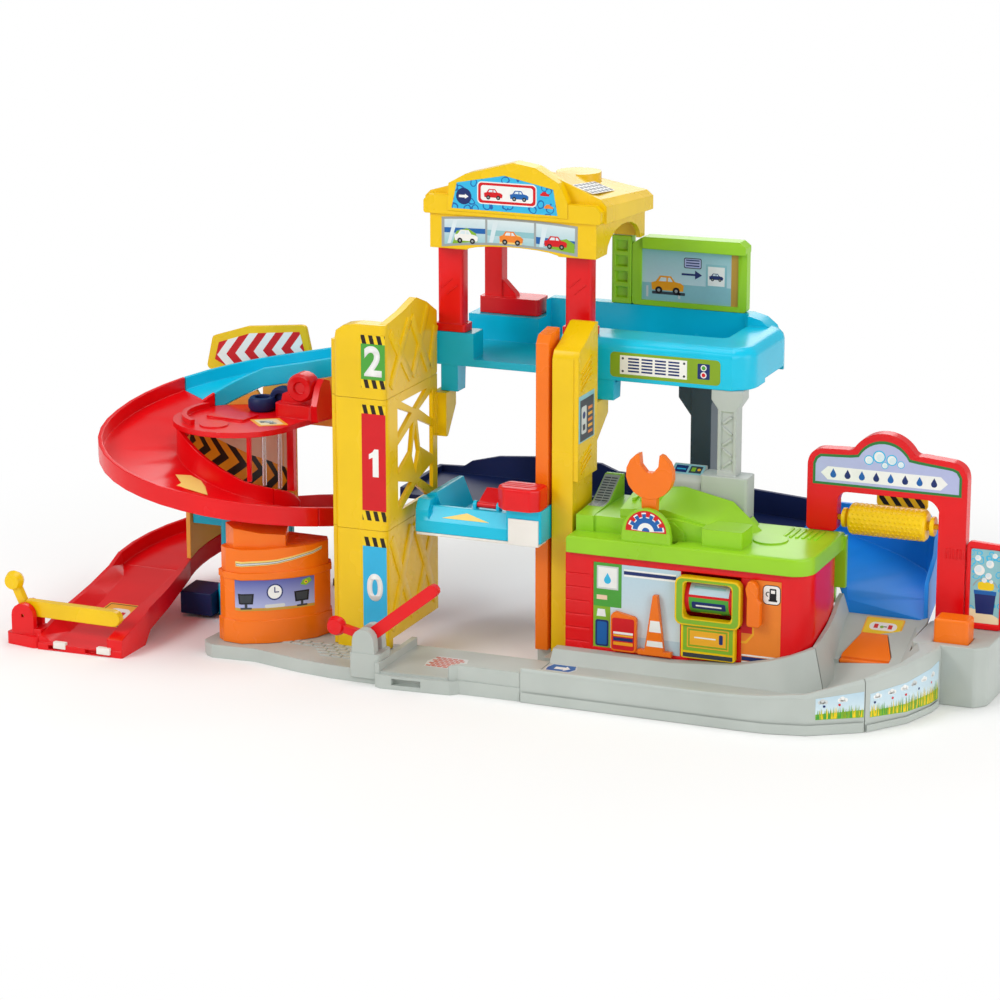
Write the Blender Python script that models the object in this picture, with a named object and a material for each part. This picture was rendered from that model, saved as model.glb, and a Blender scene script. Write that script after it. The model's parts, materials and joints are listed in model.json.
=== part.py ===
"""Toy parking garage with a car lift, a spiral road, a fuel station and a car wash.

Every size below is in millimetres and is turned into metres in one place (to_metres).
Plan positions are read off a drawing grid: X runs right along the front, Y runs back, Z is up
from the table. ORIGIN is the grid point that becomes the model's origin, the middle of its footprint.
"""

import math

import bmesh
import bpy
from mathutils import Matrix, Vector

# General
MM = 0.001
ORIGIN = Vector((-8.758, 48.28, 0.0))
GAP = 0.3

# Floors that the lift serves, as heights of the road surface
LEVEL_0 = 14.0
LEVEL_1 = 122.0
LEVEL_2 = 250.0

# Spiral road: one centre, a constant channel, heights of the outer rim by turning angle
SPIRAL_X = -274.0
SPIRAL_Y = 50.0
WALL_OUT = 125.0
WALL_IN = 51.0
WALL = 4.0
TRACK_BACK = SPIRAL_Y + WALL_OUT
CORE_BACK = SPIRAL_Y + WALL_IN
RIM_HEIGHTS = ((70.0, 229.0), (180.0, 180.0), (330.0, 129.0), (540.0, 48.0))
CORE_HEIGHTS = ((220.0, 180.7), (241.0, 173.0), (265.0, 160.0), (282.0, 151.0),
                (301.0, 141.0), (322.0, 134.0), (355.0, 124.0), (375.0, 111.6))
RIM_TO_FLOOR = 12.0
FLOOR_THICK = 3.0
RIM_TO_EDGE = 17.0
LINK_JOINT = 140.0
SPIRAL_JOINT = 330.0
SPIRAL_END = 540.0

# Base and roads
BASE_TOP = 12.0
PEDESTAL_TOP = 52.0

# Number tower
TOWER_FRONT = -30.0
TOWER_BACK = 82.0
TOWER_LEFT = -142.0
TOWER_RIGHT = -93.0
TOWER_SEAMS = (119.5, 235.5)

# Lift
RAIL_LEFT = 23.0
RAIL_RIGHT = 35.0
LIFT_BOTTOM = 111.7
LIFT_FLAP_AXIS = (-18.0, 15.5, 139.5)
LIFT_FLAP_TILT = 24.0
PIN = 1.5
PIN_HOLE = 1.6

# Upper deck
DECK_FRONT = 84.4
DECK_BACK = 202.0
DECK_BOTTOM = 243.0
DECK_SIDE = 29.0
DECK_STEP = 6.0
DECK_RIM = LEVEL_2 + DECK_SIDE
DECK_LOW_RIM = DECK_RIM - DECK_STEP
DECK_BACK_RIM = DECK_RIM + 9.0
CABIN_BASE = DECK_RIM + 71.0

# Wash
GATE_FRONT = 98.0
GATE_BACK = 110.0
ROLLER_AXIS = (314.5, 104.0, 137.0)
WASH_FLAP_AXIS = (312.5, 48.0, 28.4)
WASH_FLAP_SLOPE = math.atan2(12.0, 28.0)

# Barriers, pump and wrench
FRONT_BARRIER_AXIS = (-91.0, -73.0, 38.0)
EXIT_BARRIER_AXIS = (-414.0, -90.0, 27.0)
DRUM_AXIS = (189.0, 15.0, 81.0)
DRUM_RADIUS = 14.5
WRENCH_AXIS = (131.0, 15.0, 134.0)

COLOURS = {
    "red": (0.72, 0.02, 0.03, 1.0),
    "yellow": (0.84, 0.60, 0.02, 1.0),
    "green": (0.32, 0.60, 0.05, 1.0),
    "sky blue": (0.01, 0.42, 0.60, 1.0),
    "navy": (0.015, 0.035, 0.16, 1.0),
    "blue": (0.02, 0.17, 0.56, 1.0),
    "orange": (0.93, 0.22, 0.02, 1.0),
    "light grey": (0.47, 0.50, 0.47, 1.0),
    "dark grey": (0.10, 0.15, 0.18, 1.0),
    "brown": (0.10, 0.04, 0.025, 1.0),
    "cream": (0.80, 0.76, 0.70, 1.0),
    "light orange": (0.90, 0.52, 0.20, 1.0),
    "clear": (0.85, 0.87, 0.90, 0.4),
}


# Small geometry helpers

def to_metres(point):
    """A grid point in millimetres as a point of the model in metres."""
    return (Vector(point) - ORIGIN) * MM


def between(table, value):
    """Linear interpolation in a table of (argument, height) pairs."""
    for (low, start), (high, end) in zip(table, table[1:]):
        if value <= high:
            return start + (end - start) * (value - low) / (high - low)
    return table[-1][1]


def rounded(outline, radius, steps=3):
    """The outline with each corner turned into an arc of the given radius."""
    result = []
    count = len(outline)
    for index, corner in enumerate(outline):
        here = Vector(corner)
        before = Vector(outline[index - 1]) - here
        after = Vector(outline[(index + 1) % count]) - here
        angle = before.angle(after)
        if angle > math.radians(172):
            result.append(tuple(here))
            continue
        reach = radius / math.tan(angle / 2)
        reach = min(reach, before.length * 0.45, after.length * 0.45)
        turn = reach * math.tan(angle / 2)
        centre = here + (before.normalized() + after.normalized()).normalized() * math.hypot(reach, turn)
        first = here + before.normalized() * reach - centre
        last = here + after.normalized() * reach - centre
        sweep = first.angle_signed(last)
        for step in range(steps + 1):
            spin = Matrix.Rotation(-sweep * step / steps, 2)
            result.append(tuple(centre + spin @ first))
    return result


def arc(x, y, radius, start, end, steps):
    """Points of a circular arc, by angles in degrees."""
    angles = [math.radians(start + (end - start) * step / steps) for step in range(steps + 1)]
    return [(x + radius * math.cos(angle), y + radius * math.sin(angle)) for angle in angles]


def finished(bm):
    """A mesh made from the bmesh, with its faces pointing out."""
    bmesh.ops.recalc_face_normals(bm, faces=bm.faces)
    mesh = bpy.data.meshes.new("shape")
    bm.to_mesh(mesh)
    bm.free()
    return mesh


def prism(outline, low, high, axis="Z"):
    """The outline extruded from low to high along the axis."""
    places = {
        "X": lambda u, v, w: (w, u, v),
        "Y": lambda u, v, w: (u, w, v),
        "Z": lambda u, v, w: (u, v, w),
    }
    place = places[axis]
    bm = bmesh.new()
    face = bm.faces.new([bm.verts.new(to_metres(place(u, v, low))) for u, v in outline])
    grown = bmesh.ops.extrude_face_region(bm, geom=[face])
    moved = [item for item in grown["geom"] if isinstance(item, bmesh.types.BMVert)]
    shift = Vector(place(0.0, 0.0, high - low)) * MM
    bmesh.ops.translate(bm, vec=shift, verts=moved)
    return finished(bm)


def box(x0, x1, y0, y1, z0, z1):
    """An upright block between two corners."""
    return prism([(x0, y0), (x1, y0), (x1, y1), (x0, y1)], z0, z1)


def cylinder(centre, radius, length, axis="Z", steps=16):
    """A cylinder centred on a point, its axis along X, Y or Z."""
    along = {"X": (1, 2, 0), "Y": (0, 2, 1), "Z": (0, 1, 2)}[axis]
    outline = arc(centre[along[0]], centre[along[1]], radius, 0, 360, steps)[:-1]
    middle = centre[along[2]]
    return prism(outline, middle - length / 2, middle + length / 2, axis)


def loft(sections):
    """A closed solid through sections with the same number of points, twisted faces split the short way."""
    bm = bmesh.new()
    rings = [[bm.verts.new(to_metres(point)) for point in section] for section in sections]
    for ring, following in zip(rings, rings[1:]):
        for index in range(len(ring)):
            after = (index + 1) % len(ring)
            a, b, c, d = ring[index], ring[after], following[after], following[index]
            if (a.co - c.co).length < (b.co - d.co).length:
                bm.faces.new((a, b, c))
                bm.faces.new((a, c, d))
            else:
                bm.faces.new((a, b, d))
                bm.faces.new((b, c, d))
    bm.faces.new(rings[0])
    bm.faces.new(rings[-1])
    return finished(bm)


def upright(inner, outer, profile):
    """A section of (distance, height) pairs, set up along a line in plan from inner to outer."""
    start = Vector(inner)
    way = (Vector(outer) - start).normalized()
    return [(*(start + way * reach), height) for reach, height in profile]


def turned(profile, centre, axis, steps=20):
    """A solid of revolution from (radius, distance along the axis) pairs that start and end at radius 0."""
    bm = bmesh.new()
    points = []
    for radius, distance in profile:
        if axis == "X":
            place = (centre[0] + distance, centre[1] + radius, centre[2])
        elif axis == "Y":
            place = (centre[0] + radius, centre[1] + distance, centre[2])
        else:
            place = (centre[0] + radius, centre[1], centre[2] + distance)
        points.append(bm.verts.new(to_metres(place)))
    edges = [bm.edges.new(pair) for pair in zip(points, points[1:])]
    direction = {"X": (1, 0, 0), "Y": (0, 1, 0), "Z": (0, 0, 1)}[axis]
    bmesh.ops.spin(bm, geom=points + edges, cent=to_metres(centre), axis=direction,
                   angle=math.tau, steps=steps, use_merge=True)
    bmesh.ops.remove_doubles(bm, verts=bm.verts, dist=0.01 * MM)
    return finished(bm)


def bevelled(mesh, width, above=None, steps=2, steep=60.0):
    """The mesh with its sharp edges rounded; with above, only edges whose ends are higher than that."""
    bm = bmesh.new()
    bm.from_mesh(mesh)
    chosen = []
    for edge in bm.edges:
        if len(edge.link_faces) != 2 or edge.calc_face_angle() < math.radians(steep):
            continue
        if above is None or all(vert.co.z > above * MM for vert in edge.verts):
            chosen.append(edge)
    bmesh.ops.bevel(bm, geom=chosen, offset=width * MM, segments=steps, profile=0.5,
                    affect="EDGES", clamp_overlap=True)
    return finished(bm)


def joined(first, others, operation="UNION"):
    """The first mesh after a Boolean with each of the others."""
    collection = bpy.context.scene.collection
    subject = bpy.data.objects.new("subject", first)
    collection.objects.link(subject)
    helpers = []
    for mesh in others:
        helper = bpy.data.objects.new("helper", mesh)
        helper.hide_render = True
        collection.objects.link(helper)
        helpers.append(helper)
        step = subject.modifiers.new("step", "BOOLEAN")
        step.operation = operation
        step.solver = "EXACT"
        step.object = helper
    bpy.context.view_layer.update()
    graph = bpy.context.evaluated_depsgraph_get()
    result = bpy.data.meshes.new_from_object(subject.evaluated_get(graph))
    for item in helpers + [subject]:
        bpy.data.objects.remove(item)
    return result


def cut(first, *others):
    """The first mesh with the others taken away."""
    return joined(first, others, "DIFFERENCE")


def united(first, *others):
    """The meshes as one solid."""
    return joined(first, others, "UNION")


def material(name):
    """The plastic of one colour, made once."""
    if name in bpy.data.materials:
        return bpy.data.materials[name]
    made = bpy.data.materials.new(name)
    made.use_nodes = True
    shader = made.node_tree.nodes["Principled BSDF"]
    shader.inputs["Base Color"].default_value = COLOURS[name]
    shader.inputs["Roughness"].default_value = 0.35
    shader.inputs["Alpha"].default_value = COLOURS[name][3]
    return made


def piece(name, mesh, colour, pivot=None):
    """One named object; a moving one has its origin on its joint."""
    bm = bmesh.new()
    bm.from_mesh(mesh)
    bmesh.ops.remove_doubles(bm, verts=bm.verts, dist=0.002 * MM)
    bmesh.ops.dissolve_limit(bm, angle_limit=math.radians(0.2), verts=bm.verts, edges=bm.edges)
    bm.to_mesh(mesh)
    bm.free()
    mesh.name = name
    mesh.materials.clear()
    mesh.materials.append(material(colour))
    mesh.shade_smooth()
    mesh.set_sharp_from_angle(angle=math.radians(32))
    made = bpy.data.objects.new(name, mesh)
    bpy.context.scene.collection.objects.link(made)
    if pivot:
        mesh.transform(Matrix.Translation(-to_metres(pivot)))
        made.location = to_metres(pivot)
    return made


# Spiral road

def rim_height(angle):
    return between(RIM_HEIGHTS, angle)


def core_height(angle):
    """Top of the inner wall: it swoops down from under the platform to the rim."""
    if angle < 180.0:
        return rim_height(angle)
    if angle > CORE_HEIGHTS[-1][0]:
        return rim_height(angle)
    return between(((180.0, 180.0),) + CORE_HEIGHTS, angle)


def channel(rim, inner_top):
    """Section of the track as (distance from the spiral's centre line, height)."""
    floor = rim - RIM_TO_FLOOR
    under = floor - FLOOR_THICK
    edge = rim - RIM_TO_EDGE
    return [(WALL_IN, edge), (WALL_IN, inner_top), (WALL_IN + WALL, inner_top), (WALL_IN + WALL, floor),
            (WALL_OUT - WALL, floor), (WALL_OUT - WALL, rim), (WALL_OUT, rim), (WALL_OUT, edge),
            (WALL_OUT - 3.0, edge), (WALL_OUT - 3.0, under), (WALL_IN + 3.0, under), (WALL_IN + 3.0, edge)]


def turn_section(angle):
    section = channel(rim_height(angle), core_height(angle))
    cosine = math.cos(math.radians(angle))
    sine = math.sin(math.radians(angle))
    return [(SPIRAL_X + reach * cosine, SPIRAL_Y + reach * sine, height) for reach, height in section]


def straight_section(x):
    """Section of the straight part that leads from the deck to the spiral."""
    rim = between(((-274.0, rim_height(90.0)), (-233.0, 229.0), (-98.3, 261.0)), x)
    return [(x, SPIRAL_Y + reach, height) for reach, height in channel(rim, rim)]


def angles(start, end, step):
    count = max(1, round((end - start) / step))
    return [start + (end - start) * index / count for index in range(count + 1)]


def build_spiral():
    upper = loft([turn_section(angle) for angle in angles(LINK_JOINT + 0.15, SPIRAL_JOINT - 0.15, 9.5)])
    piece("spiral_upper", upper, "red")
    lower = loft([turn_section(angle) for angle in angles(SPIRAL_JOINT + 0.15, SPIRAL_END - 0.15, 10.0)])
    piece("spiral_lower", lower, "red")
    path = [straight_section(x) for x in (-98.3, -165.0, -233.0)]
    path += [turn_section(angle) for angle in angles(90.0, LINK_JOINT - 0.15, 10.0)]
    piece("deck_link", loft(path), "sky blue")


def build_exit_ramp():
    stations = ((49.7, 31.0, 36.0, 48.0), (30.0, 26.0, 31.5, 43.0), (-5.0, 17.5, 24.0, 36.0),
                (-30.0, 12.5, 18.0, 32.0), (-44.0, 9.5, 14.5, 30.0), (-60.0, 0.0, 11.5, 27.0),
                (-75.0, 0.0, 9.0, 24.0), (-103.0, 0.0, 6.0, 16.0))
    cheek = ((-103.0, 11.0), (-60.0, 11.0), (-42.0, 7.5), (4.0, 4.5), (49.7, 0.0))
    sections = []
    for y, edge, floor, rim in stations:
        flare = between(cheek, y)
        inner = SPIRAL_X - WALL_IN
        outer = SPIRAL_X - WALL_OUT
        under = max(floor - FLOOR_THICK, edge + 1.0)
        slope = between(((-103.0, 14.0), (25.0, 14.0), (49.7, 0.5)), y)
        low_rim = rim - slope * 0.3
        sections.append([(inner + flare, y, edge), (inner + flare, y, rim), (inner - WALL, y, rim),
                         (inner - WALL, y, floor), (outer + WALL + slope, y, floor),
                         (outer + WALL, y, low_rim), (outer, y, low_rim), (outer, y, edge),
                         (outer + 3.0, y, edge), (outer + 3.0, y, under), (inner - 3.0, y, under),
                         (inner - 3.0, y, edge)])
    ramp = loft(sections)
    x, y, z = EXIT_BARRIER_AXIS
    base = prism(rounded([(-431, -101), (-397, -107), (-396, -78), (-429, -80)], 4), 0.0, 10.5)
    lug_outline = [(x - 11, 8.0), (x + 11, 8.0)] + arc(x, z, 11, 0, 180, 8)
    front_lug = prism(lug_outline, y - 11.0, y - 4.5, "Y")
    back_lug = prism(lug_outline, y + 4.5, y + 9.5, "Y")
    bridge = box(x + 8.0, -396.0, y - 10.5, y + 9.0, 0.5, 16.0)
    kerb = prism(rounded([(-397, -106.5), (-314, -103.5), (-314, -98), (-397, -98)], 1.5), 0.0, 6.0)
    pin_hole = cylinder((x, y, z), PIN_HOLE, 40, "Y", 12)
    slots = [box(-386, -374, -108, -101, 1.2, 4.8), box(-350, -336, -108, -101, 1.2, 4.8)]
    ramp = united(ramp, base, front_lug, back_lug, bridge, kerb)
    piece("exit_ramp", cut(ramp, pin_hole, *slots), "red")


def boom(axis, tilt, length, tall, thin, rise, knob_angle, knob_reach, knob_radius):
    """A barrier arm with a counterweight knob, turning about Y."""
    x, y, z = axis
    arm = [(0.0, rise - tall / 2)]
    arm += arc(length - tall / 2, rise, tall / 2, -90, 90, 5) + [(0.0, rise + tall / 2)]
    spin = Matrix.Rotation(math.radians(tilt), 2)
    outline = [tuple(spin @ Vector(point) + Vector((x, z))) for point in arm]
    bar = prism(outline, y - thin / 2, y + thin / 2, "Y")
    hub = cylinder((x, y, z), 7.0, thin, "Y", 16)
    toward = Vector((math.cos(math.radians(knob_angle)), math.sin(math.radians(knob_angle))))
    across = Vector((-toward.y, toward.x)) * 3.5
    middle = Vector((x, z))
    end = middle + toward * knob_reach
    tail = prism([tuple(middle + across), tuple(middle - across), tuple(end - across), tuple(end + across)],
                 y - thin / 2 + 0.5, y + thin / 2 - 0.5, "Y")
    knob = turned([(0, -knob_radius * 0.7), (knob_radius * 0.75, -knob_radius * 0.6), (knob_radius, 0),
                   (knob_radius * 0.75, knob_radius * 0.6), (0, knob_radius * 0.7)],
                  (end.x, y, end.y), "Y", 16)
    return united(bar, hub, tail, knob)


def build_barriers():
    front = boom(FRONT_BARRIER_AXIS, 38.5, 82.0, 11.0, 7.0, 0.0, 168.0, 31.0, 9.0)
    x, y, z = FRONT_BARRIER_AXIS
    front = united(front, cylinder((x, y, z), PIN, 15, "Y", 12))
    piece("front_barrier", front, "red", FRONT_BARRIER_AXIS)
    exit_arm = boom(EXIT_BARRIER_AXIS, -0.5, 93.0, 14.0, 7.5, 5.5, 115.0, 31.0, 9.2)
    x, y, z = EXIT_BARRIER_AXIS
    exit_arm = united(exit_arm, cylinder((x, y, z), PIN, 16, "Y", 12))
    piece("exit_barrier", exit_arm, "yellow", EXIT_BARRIER_AXIS)


# Pieces inside and under the spiral

def build_platform():
    edge = arc(SPIRAL_X, SPIRAL_Y, WALL_IN + 7.0, 184.0, 360.0, 16)
    edge += [(-206.0, 84.0), (-202.0, 97.0), (-270.0, 98.5)]
    edge += arc(SPIRAL_X, SPIRAL_Y, WALL_IN - 0.6, 96.0, 178.0, 8)
    plate = prism(edge, 181.0, 186.0)
    lip = arc(SPIRAL_X, SPIRAL_Y, WALL_IN - 0.8, 150.0, 240.0, 8)
    lip += arc(SPIRAL_X, SPIRAL_Y, WALL_IN - 5.5, 240.0, 150.0, 8)
    left_rim = prism(lip, 182.0, 191.0)
    right_post = box(-223.5, -217.0, 45.0, 51.0, 124.6, 182.0)
    thin_x = SPIRAL_X + 53 * math.cos(math.radians(307))
    thin_y = SPIRAL_Y + 53 * math.sin(math.radians(307))
    thin_post = box(thin_x - 1.7, thin_x + 1.7, thin_y - 1.7, thin_y + 1.7, 140.2, 182.0)
    stand = cylinder((-281.0, 17.0, 186.0), 13.0, 2.4, "Z", 20)
    machine = prism(rounded([(-246, 66), (-206, 64), (-206, 92), (-236, 92), (-246, 80)], 5), 185.0, 198.0)
    shoulder = prism([(-242, 196), (-240, 206), (-232, 210), (-212, 210), (-208, 196)], 72, 86, "Y")
    wheel = turned([(0, -7), (5, -7), (6, -9), (11, -10), (13, -7), (13, 7), (0, 7)],
                   (-220.0, 74.0, 214.0), "Y", 18)
    cheek = prism([(62, 185), (60, 200), (68, 216), (76, 222), (88, 218), (92, 200), (92, 185)],
                  -206.5, -200.5, "X")
    step = prism([(-300, 40), (-262, 36), (-258, 60), (-296, 66)], 185.0, 188.0)
    platform = united(plate, left_rim, right_post, thin_post, stand, machine, shoulder, wheel, cheek, step)
    rods = []
    for angle in (322.0, 340.0):
        x = SPIRAL_X + 53 * math.cos(math.radians(angle))
        y = SPIRAL_Y + 53 * math.sin(math.radians(angle))
        rods.append((x, y, core_height(angle) + 1.2))
    piece("platform", platform, "red")
    for name, (x, y, low) in zip(("clear_rod_left", "clear_rod_right"), rods):
        piece(name, cylinder((x, y, (low + 180.7) / 2), 1.8, 180.7 - low, "Z", 12), "clear")


def build_core():
    """The wall at the back of the core, the tyres on it, and the column under the lower turn."""
    outside = WALL_IN + WALL
    sections = []
    for angle in angles(42.0, 179.0, 13.7):
        cosine = math.cos(math.radians(angle))
        sine = math.sin(math.radians(angle))
        low = rim_height(angle + 360.0) + 0.5
        high = 180.5 if angle < 88.0 else rim_height(angle) - RIM_TO_EDGE - 0.5
        sections.append([(SPIRAL_X + WALL_IN * cosine, SPIRAL_Y + WALL_IN * sine, low),
                         (SPIRAL_X + WALL_IN * cosine, SPIRAL_Y + WALL_IN * sine, high),
                         (SPIRAL_X + outside * cosine, SPIRAL_Y + outside * sine, high),
                         (SPIRAL_X + outside * cosine, SPIRAL_Y + outside * sine, low)])
    arc_wall = loft(sections)
    top = [(x, straight_section(x)[0][2] - 0.5) for x in (-152.0, -200.0, -233.0, -274.0)]
    straight = [(-274.0, 172.0), (-152.0, 172.0)] + top
    straight = prism(straight, CORE_BACK + 0.3, CORE_BACK + WALL - 0.3, "Y")
    piece("core_rear_wall", united(arc_wall, straight), "light orange")
    tyre = [(0, -6), (8.5, -6), (10.5, -4), (10.5, 4), (8.5, 6), (0, 6)]
    flat = turned([(0, -6), (11, -6), (13, -3), (13, 3), (11, 6), (0, 6)], (-266, 84, 192.3), "Z", 18)
    flat = cut(flat, cylinder((-266, 84, 198), 7.0, 6.0, "Z", 14))
    standing = turned(tyre, (-250.5, 93, 197.0), "Y", 18)
    standing = cut(standing, cylinder((-250.5, 87, 197), 5.0, 6.0, "Y", 14))
    piece("tyres", united(flat, standing), "navy")
    post = prism(rounded([(-292, 43), (-263, 43), (-263, 71), (-292, 71)], 6), 0.0, 101.0)
    foot = prism(rounded([(-294, 40), (-260, 40), (-260, 74), (-294, 74)], 5), 0.0, 31.0)
    reach = WALL_IN - 1.4
    arm = box(SPIRAL_X - reach, SPIRAL_X + reach, 54.0, 60.0, 82.0, 102.0)
    hollow = prism(rounded([(-289, 46), (-266, 46), (-266, 68), (-289, 68)], 4), -1.0, 78.0)
    piece("spiral_column", cut(united(post, foot, arm), hollow), "sky blue")
    beam = prism([(30, 3), (30, 24), (62, 26), (62, 3)], -326.0, -294.4, "X")
    beam = cut(beam, prism([(33, 2), (33, 21), (59, 23), (59, 2)], -323.0, -297.0, "X"))
    piece("column_beam", beam, "navy")
    wall = arc(SPIRAL_X, SPIRAL_Y, WALL_OUT - 2.0, 341.0, 351.0, 2)
    wall += arc(SPIRAL_X, SPIRAL_Y, WALL_OUT - 5.5, 351.0, 341.0, 2)
    piece("spiral_support", prism(wall, BASE_TOP + GAP, rim_height(351.0) - RIM_TO_EDGE - 0.4), "red")


def build_hut():
    plan = [(-244, -50), (-236, -57), (-219, -59), (-199, -49), (-181, -34), (-168, -18), (-162, 2),
            (-168, 13), (-215, 14), (-240, -14)]
    centre = Vector((-203, -24))

    def scaled(outline, factor):
        return [tuple(centre + (Vector(point) - centre) * factor) for point in outline]

    band = prism(scaled(plan, 1.03), BASE_TOP + GAP, 33.0)
    body = prism(plan, 20.0, 72.0)
    collar = prism(scaled(plan, 1.025), 70.0, 76.0)
    upper = prism(scaled(plan, 0.97), 74.0, 97.0)
    tier_plan = [(-240, -45), (-228, -54), (-206, -46), (-189, -31), (-199, -4), (-232, -18)]
    tier = loft([[(x, y, 95.0) for x, y in tier_plan],
                 [(x, y, 117.0 - (x + 240) * 0.2) for x, y in tier_plan]])
    hollow = prism(scaled(plan, 0.90), 5.0, 92.0)
    hut = cut(united(body, band, collar, upper, tier), hollow)
    piece("hut", hut, "orange")


def build_link_pole():
    front = TRACK_BACK - 5.0
    back = TRACK_BACK + 15.0
    shaft = box(-233, -223, TRACK_BACK + 0.5, TRACK_BACK + 9.0, 0, 222)
    foot = prism(rounded([(-240, front), (-216, front), (-216, back), (-240, back)], 3, 2), 0, 6)
    band = box(-234.5, -221.5, TRACK_BACK + 0.4, TRACK_BACK + 10.5, 112, 150)
    piece("link_pole", united(shaft, foot, band), "brown")


def build_chevron_sign():
    outline = [(-369, 197), (-362, 228), (-325, 240), (-266, 246), (-261, 223), (-261, 206), (-345, 192)]
    piece("chevron_sign", prism(rounded(outline, 4), TRACK_BACK + 0.5, TRACK_BACK + 4.5, "Y"), "yellow")


# Base and roads

def build_bases():
    plan = [(-256, -58), (-250, -66), (-243, -70), (-203, -67), (-156, -79), (-122, -83.5), (-79, -84.5),
            (-78, -90), (-72, -93), (-10, -88), (-4, -82), (51, -80.7), (51, -8), (-136, -8), (-140, 34),
            (-160, 40), (-230, 24), (-252, -12)]
    plate = prism(plan, 0.0, BASE_TOP)
    landing = prism([(-74, -89), (-12, -85), (-6, -79), (50.5, -77.5), (50.5, -9), (-74, -9)],
                    10.0, LEVEL_0)
    kerb = prism([(-79, -88), (-74, -90), (-74, -9), (-79, -9)], 8.0, 21.0)
    rim = prism([(-12, -86), (-6, -80.5), (50.8, -79.8), (50.8, -73), (-4, -74), (-10, -80)], 8.0, 25.0)
    x, y, z = FRONT_BARRIER_AXIS
    housing = prism(rounded([(-104, -86.5), (-76, -86.5), (-76, -60), (-104, -60)], 3), 5.0, 27.0)
    lug = [(x - 11, 20.0), (x + 11, 20.0)] + arc(x, z, 10, 0, 180, 8)
    front_lug = prism(lug, -86.0, y - 4.2, "Y")
    back_lug = prism(lug, y + 4.2, -60.5, "Y")
    slot = box(-62, -36, -96, -86, 4.0, 9.5)
    left = united(plate, landing, kerb, rim, housing, front_lug, back_lug)
    left = cut(left, cylinder((x, y, z), PIN_HOLE, 17, "Y", 12), slot)
    piece("base_left", left, "light grey")

    def across(inner, outer, kerb_top, floor, rim_top, kerb_in, floor_in, floor_out, rim_in):
        """A road section from the inner kerb to the outer rim."""
        length = (Vector(outer) - Vector(inner)).length
        profile = [(0.0, 0.0), (0.0, kerb_top), (kerb_in, kerb_top), (floor_in, floor), (floor_out, floor),
                   (rim_in, rim_top), (length - 2.0, rim_top), (length, rim_top - 3.0), (length, 0.0)]
        return upright(inner, outer, profile)

    road = loft([
        across((51.3, 5.2), (51.3, -81), 25, 14, 29, 10.8, 19, 73, 80),
        across((160, 5.2), (160, -81.5), 25, 14, 29, 10.8, 19, 73, 80),
        across((215, 5.2), (215, -81.5), 29, 14, 29, 9, 19, 73, 80),
        across((245, 5.2), (245, -81.5), 36, 14, 30, 7, 19, 73, 80),
        across((260, 5.2), (266, -80.8), 41, 14, 31.5, 6, 20, 73, 81),
        across((270, 8), (299, -73.5), 45, 14, 34.5, 5, 20, 73, 82),
        across((276.6, 14), (340.8, -47.2), 47.5, 14.5, 45, 5, 20, 73, 84),
    ])
    slab = prism([(38.6, 5.0), (255, 5.0), (270, 20), (270, 88), (38.6, 88), (38.6, 52), (22.8, 52),
                  (22.8, 30.6), (38.6, 30.6)], 0.0, BASE_TOP)
    shelf = box(51.8, 262, 1.0, 14.0, 1.0, BASE_TOP)
    piece("base_road", united(slab, road, shelf), "light grey")

    ramp = loft([
        across((276.9, 14.4), (341.2, -46.8), 47.5, 14.5, 45, 5, 20, 73, 84),
        across((277.2, 32), (366, -12), 52, 18, 50, 4, 17, 74, 91),
        across((277.2, 50), (377, 22), 56, 27, 52, 4, 10, 70, 92),
        across((275.5, 72), (380, 58), 61, 39, 52, 4, 8, 69, 78),
        across((272.5, 95), (380, 95), 67, 50, 52.6, 4, 9, 71, 79),
        across((272.5, 103.6), (380, 103.6), 69.4, 53.2, 56, 4, 9, 71, 78.8),
    ])
    corner = box(351.7, 390, 45.7, 130, -5, 90)
    hatch_plan = [(290.5, 44.5), (334.5, 44.5), (334.5, 53), (323, 81), (300, 81), (290.5, 53)]
    hatch = prism(hatch_plan, 5.0, 70.0)
    x, y, z = WASH_FLAP_AXIS
    ears = [box(284.5, 290.3, 44, 52, 18, 29.6), box(334.7, 340.5, 44, 52, 18, 29.6)]
    ramp = cut(united(ramp, *ears), corner, hatch, cylinder((x, y, z - 1.2), 1.4, 56, "X", 12))
    piece("wash_ramp", ramp, "light grey")

    plan = rounded([(352, 46), (384, 46), (408, 46), (417, 56), (419, 114), (352, 114)], 6)
    block = prism(plan, 0.0, PEDESTAL_TOP)
    inside = prism([(355, 49), (406, 49), (414, 58), (416, 111), (355, 111)], -1.0, PEDESTAL_TOP - 4)
    well = box(368.6, 399.4, 53.6, 76.4, 30, 60)
    piece("wash_pedestal", cut(block, inside, well), "light grey")


# Number tower

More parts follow.
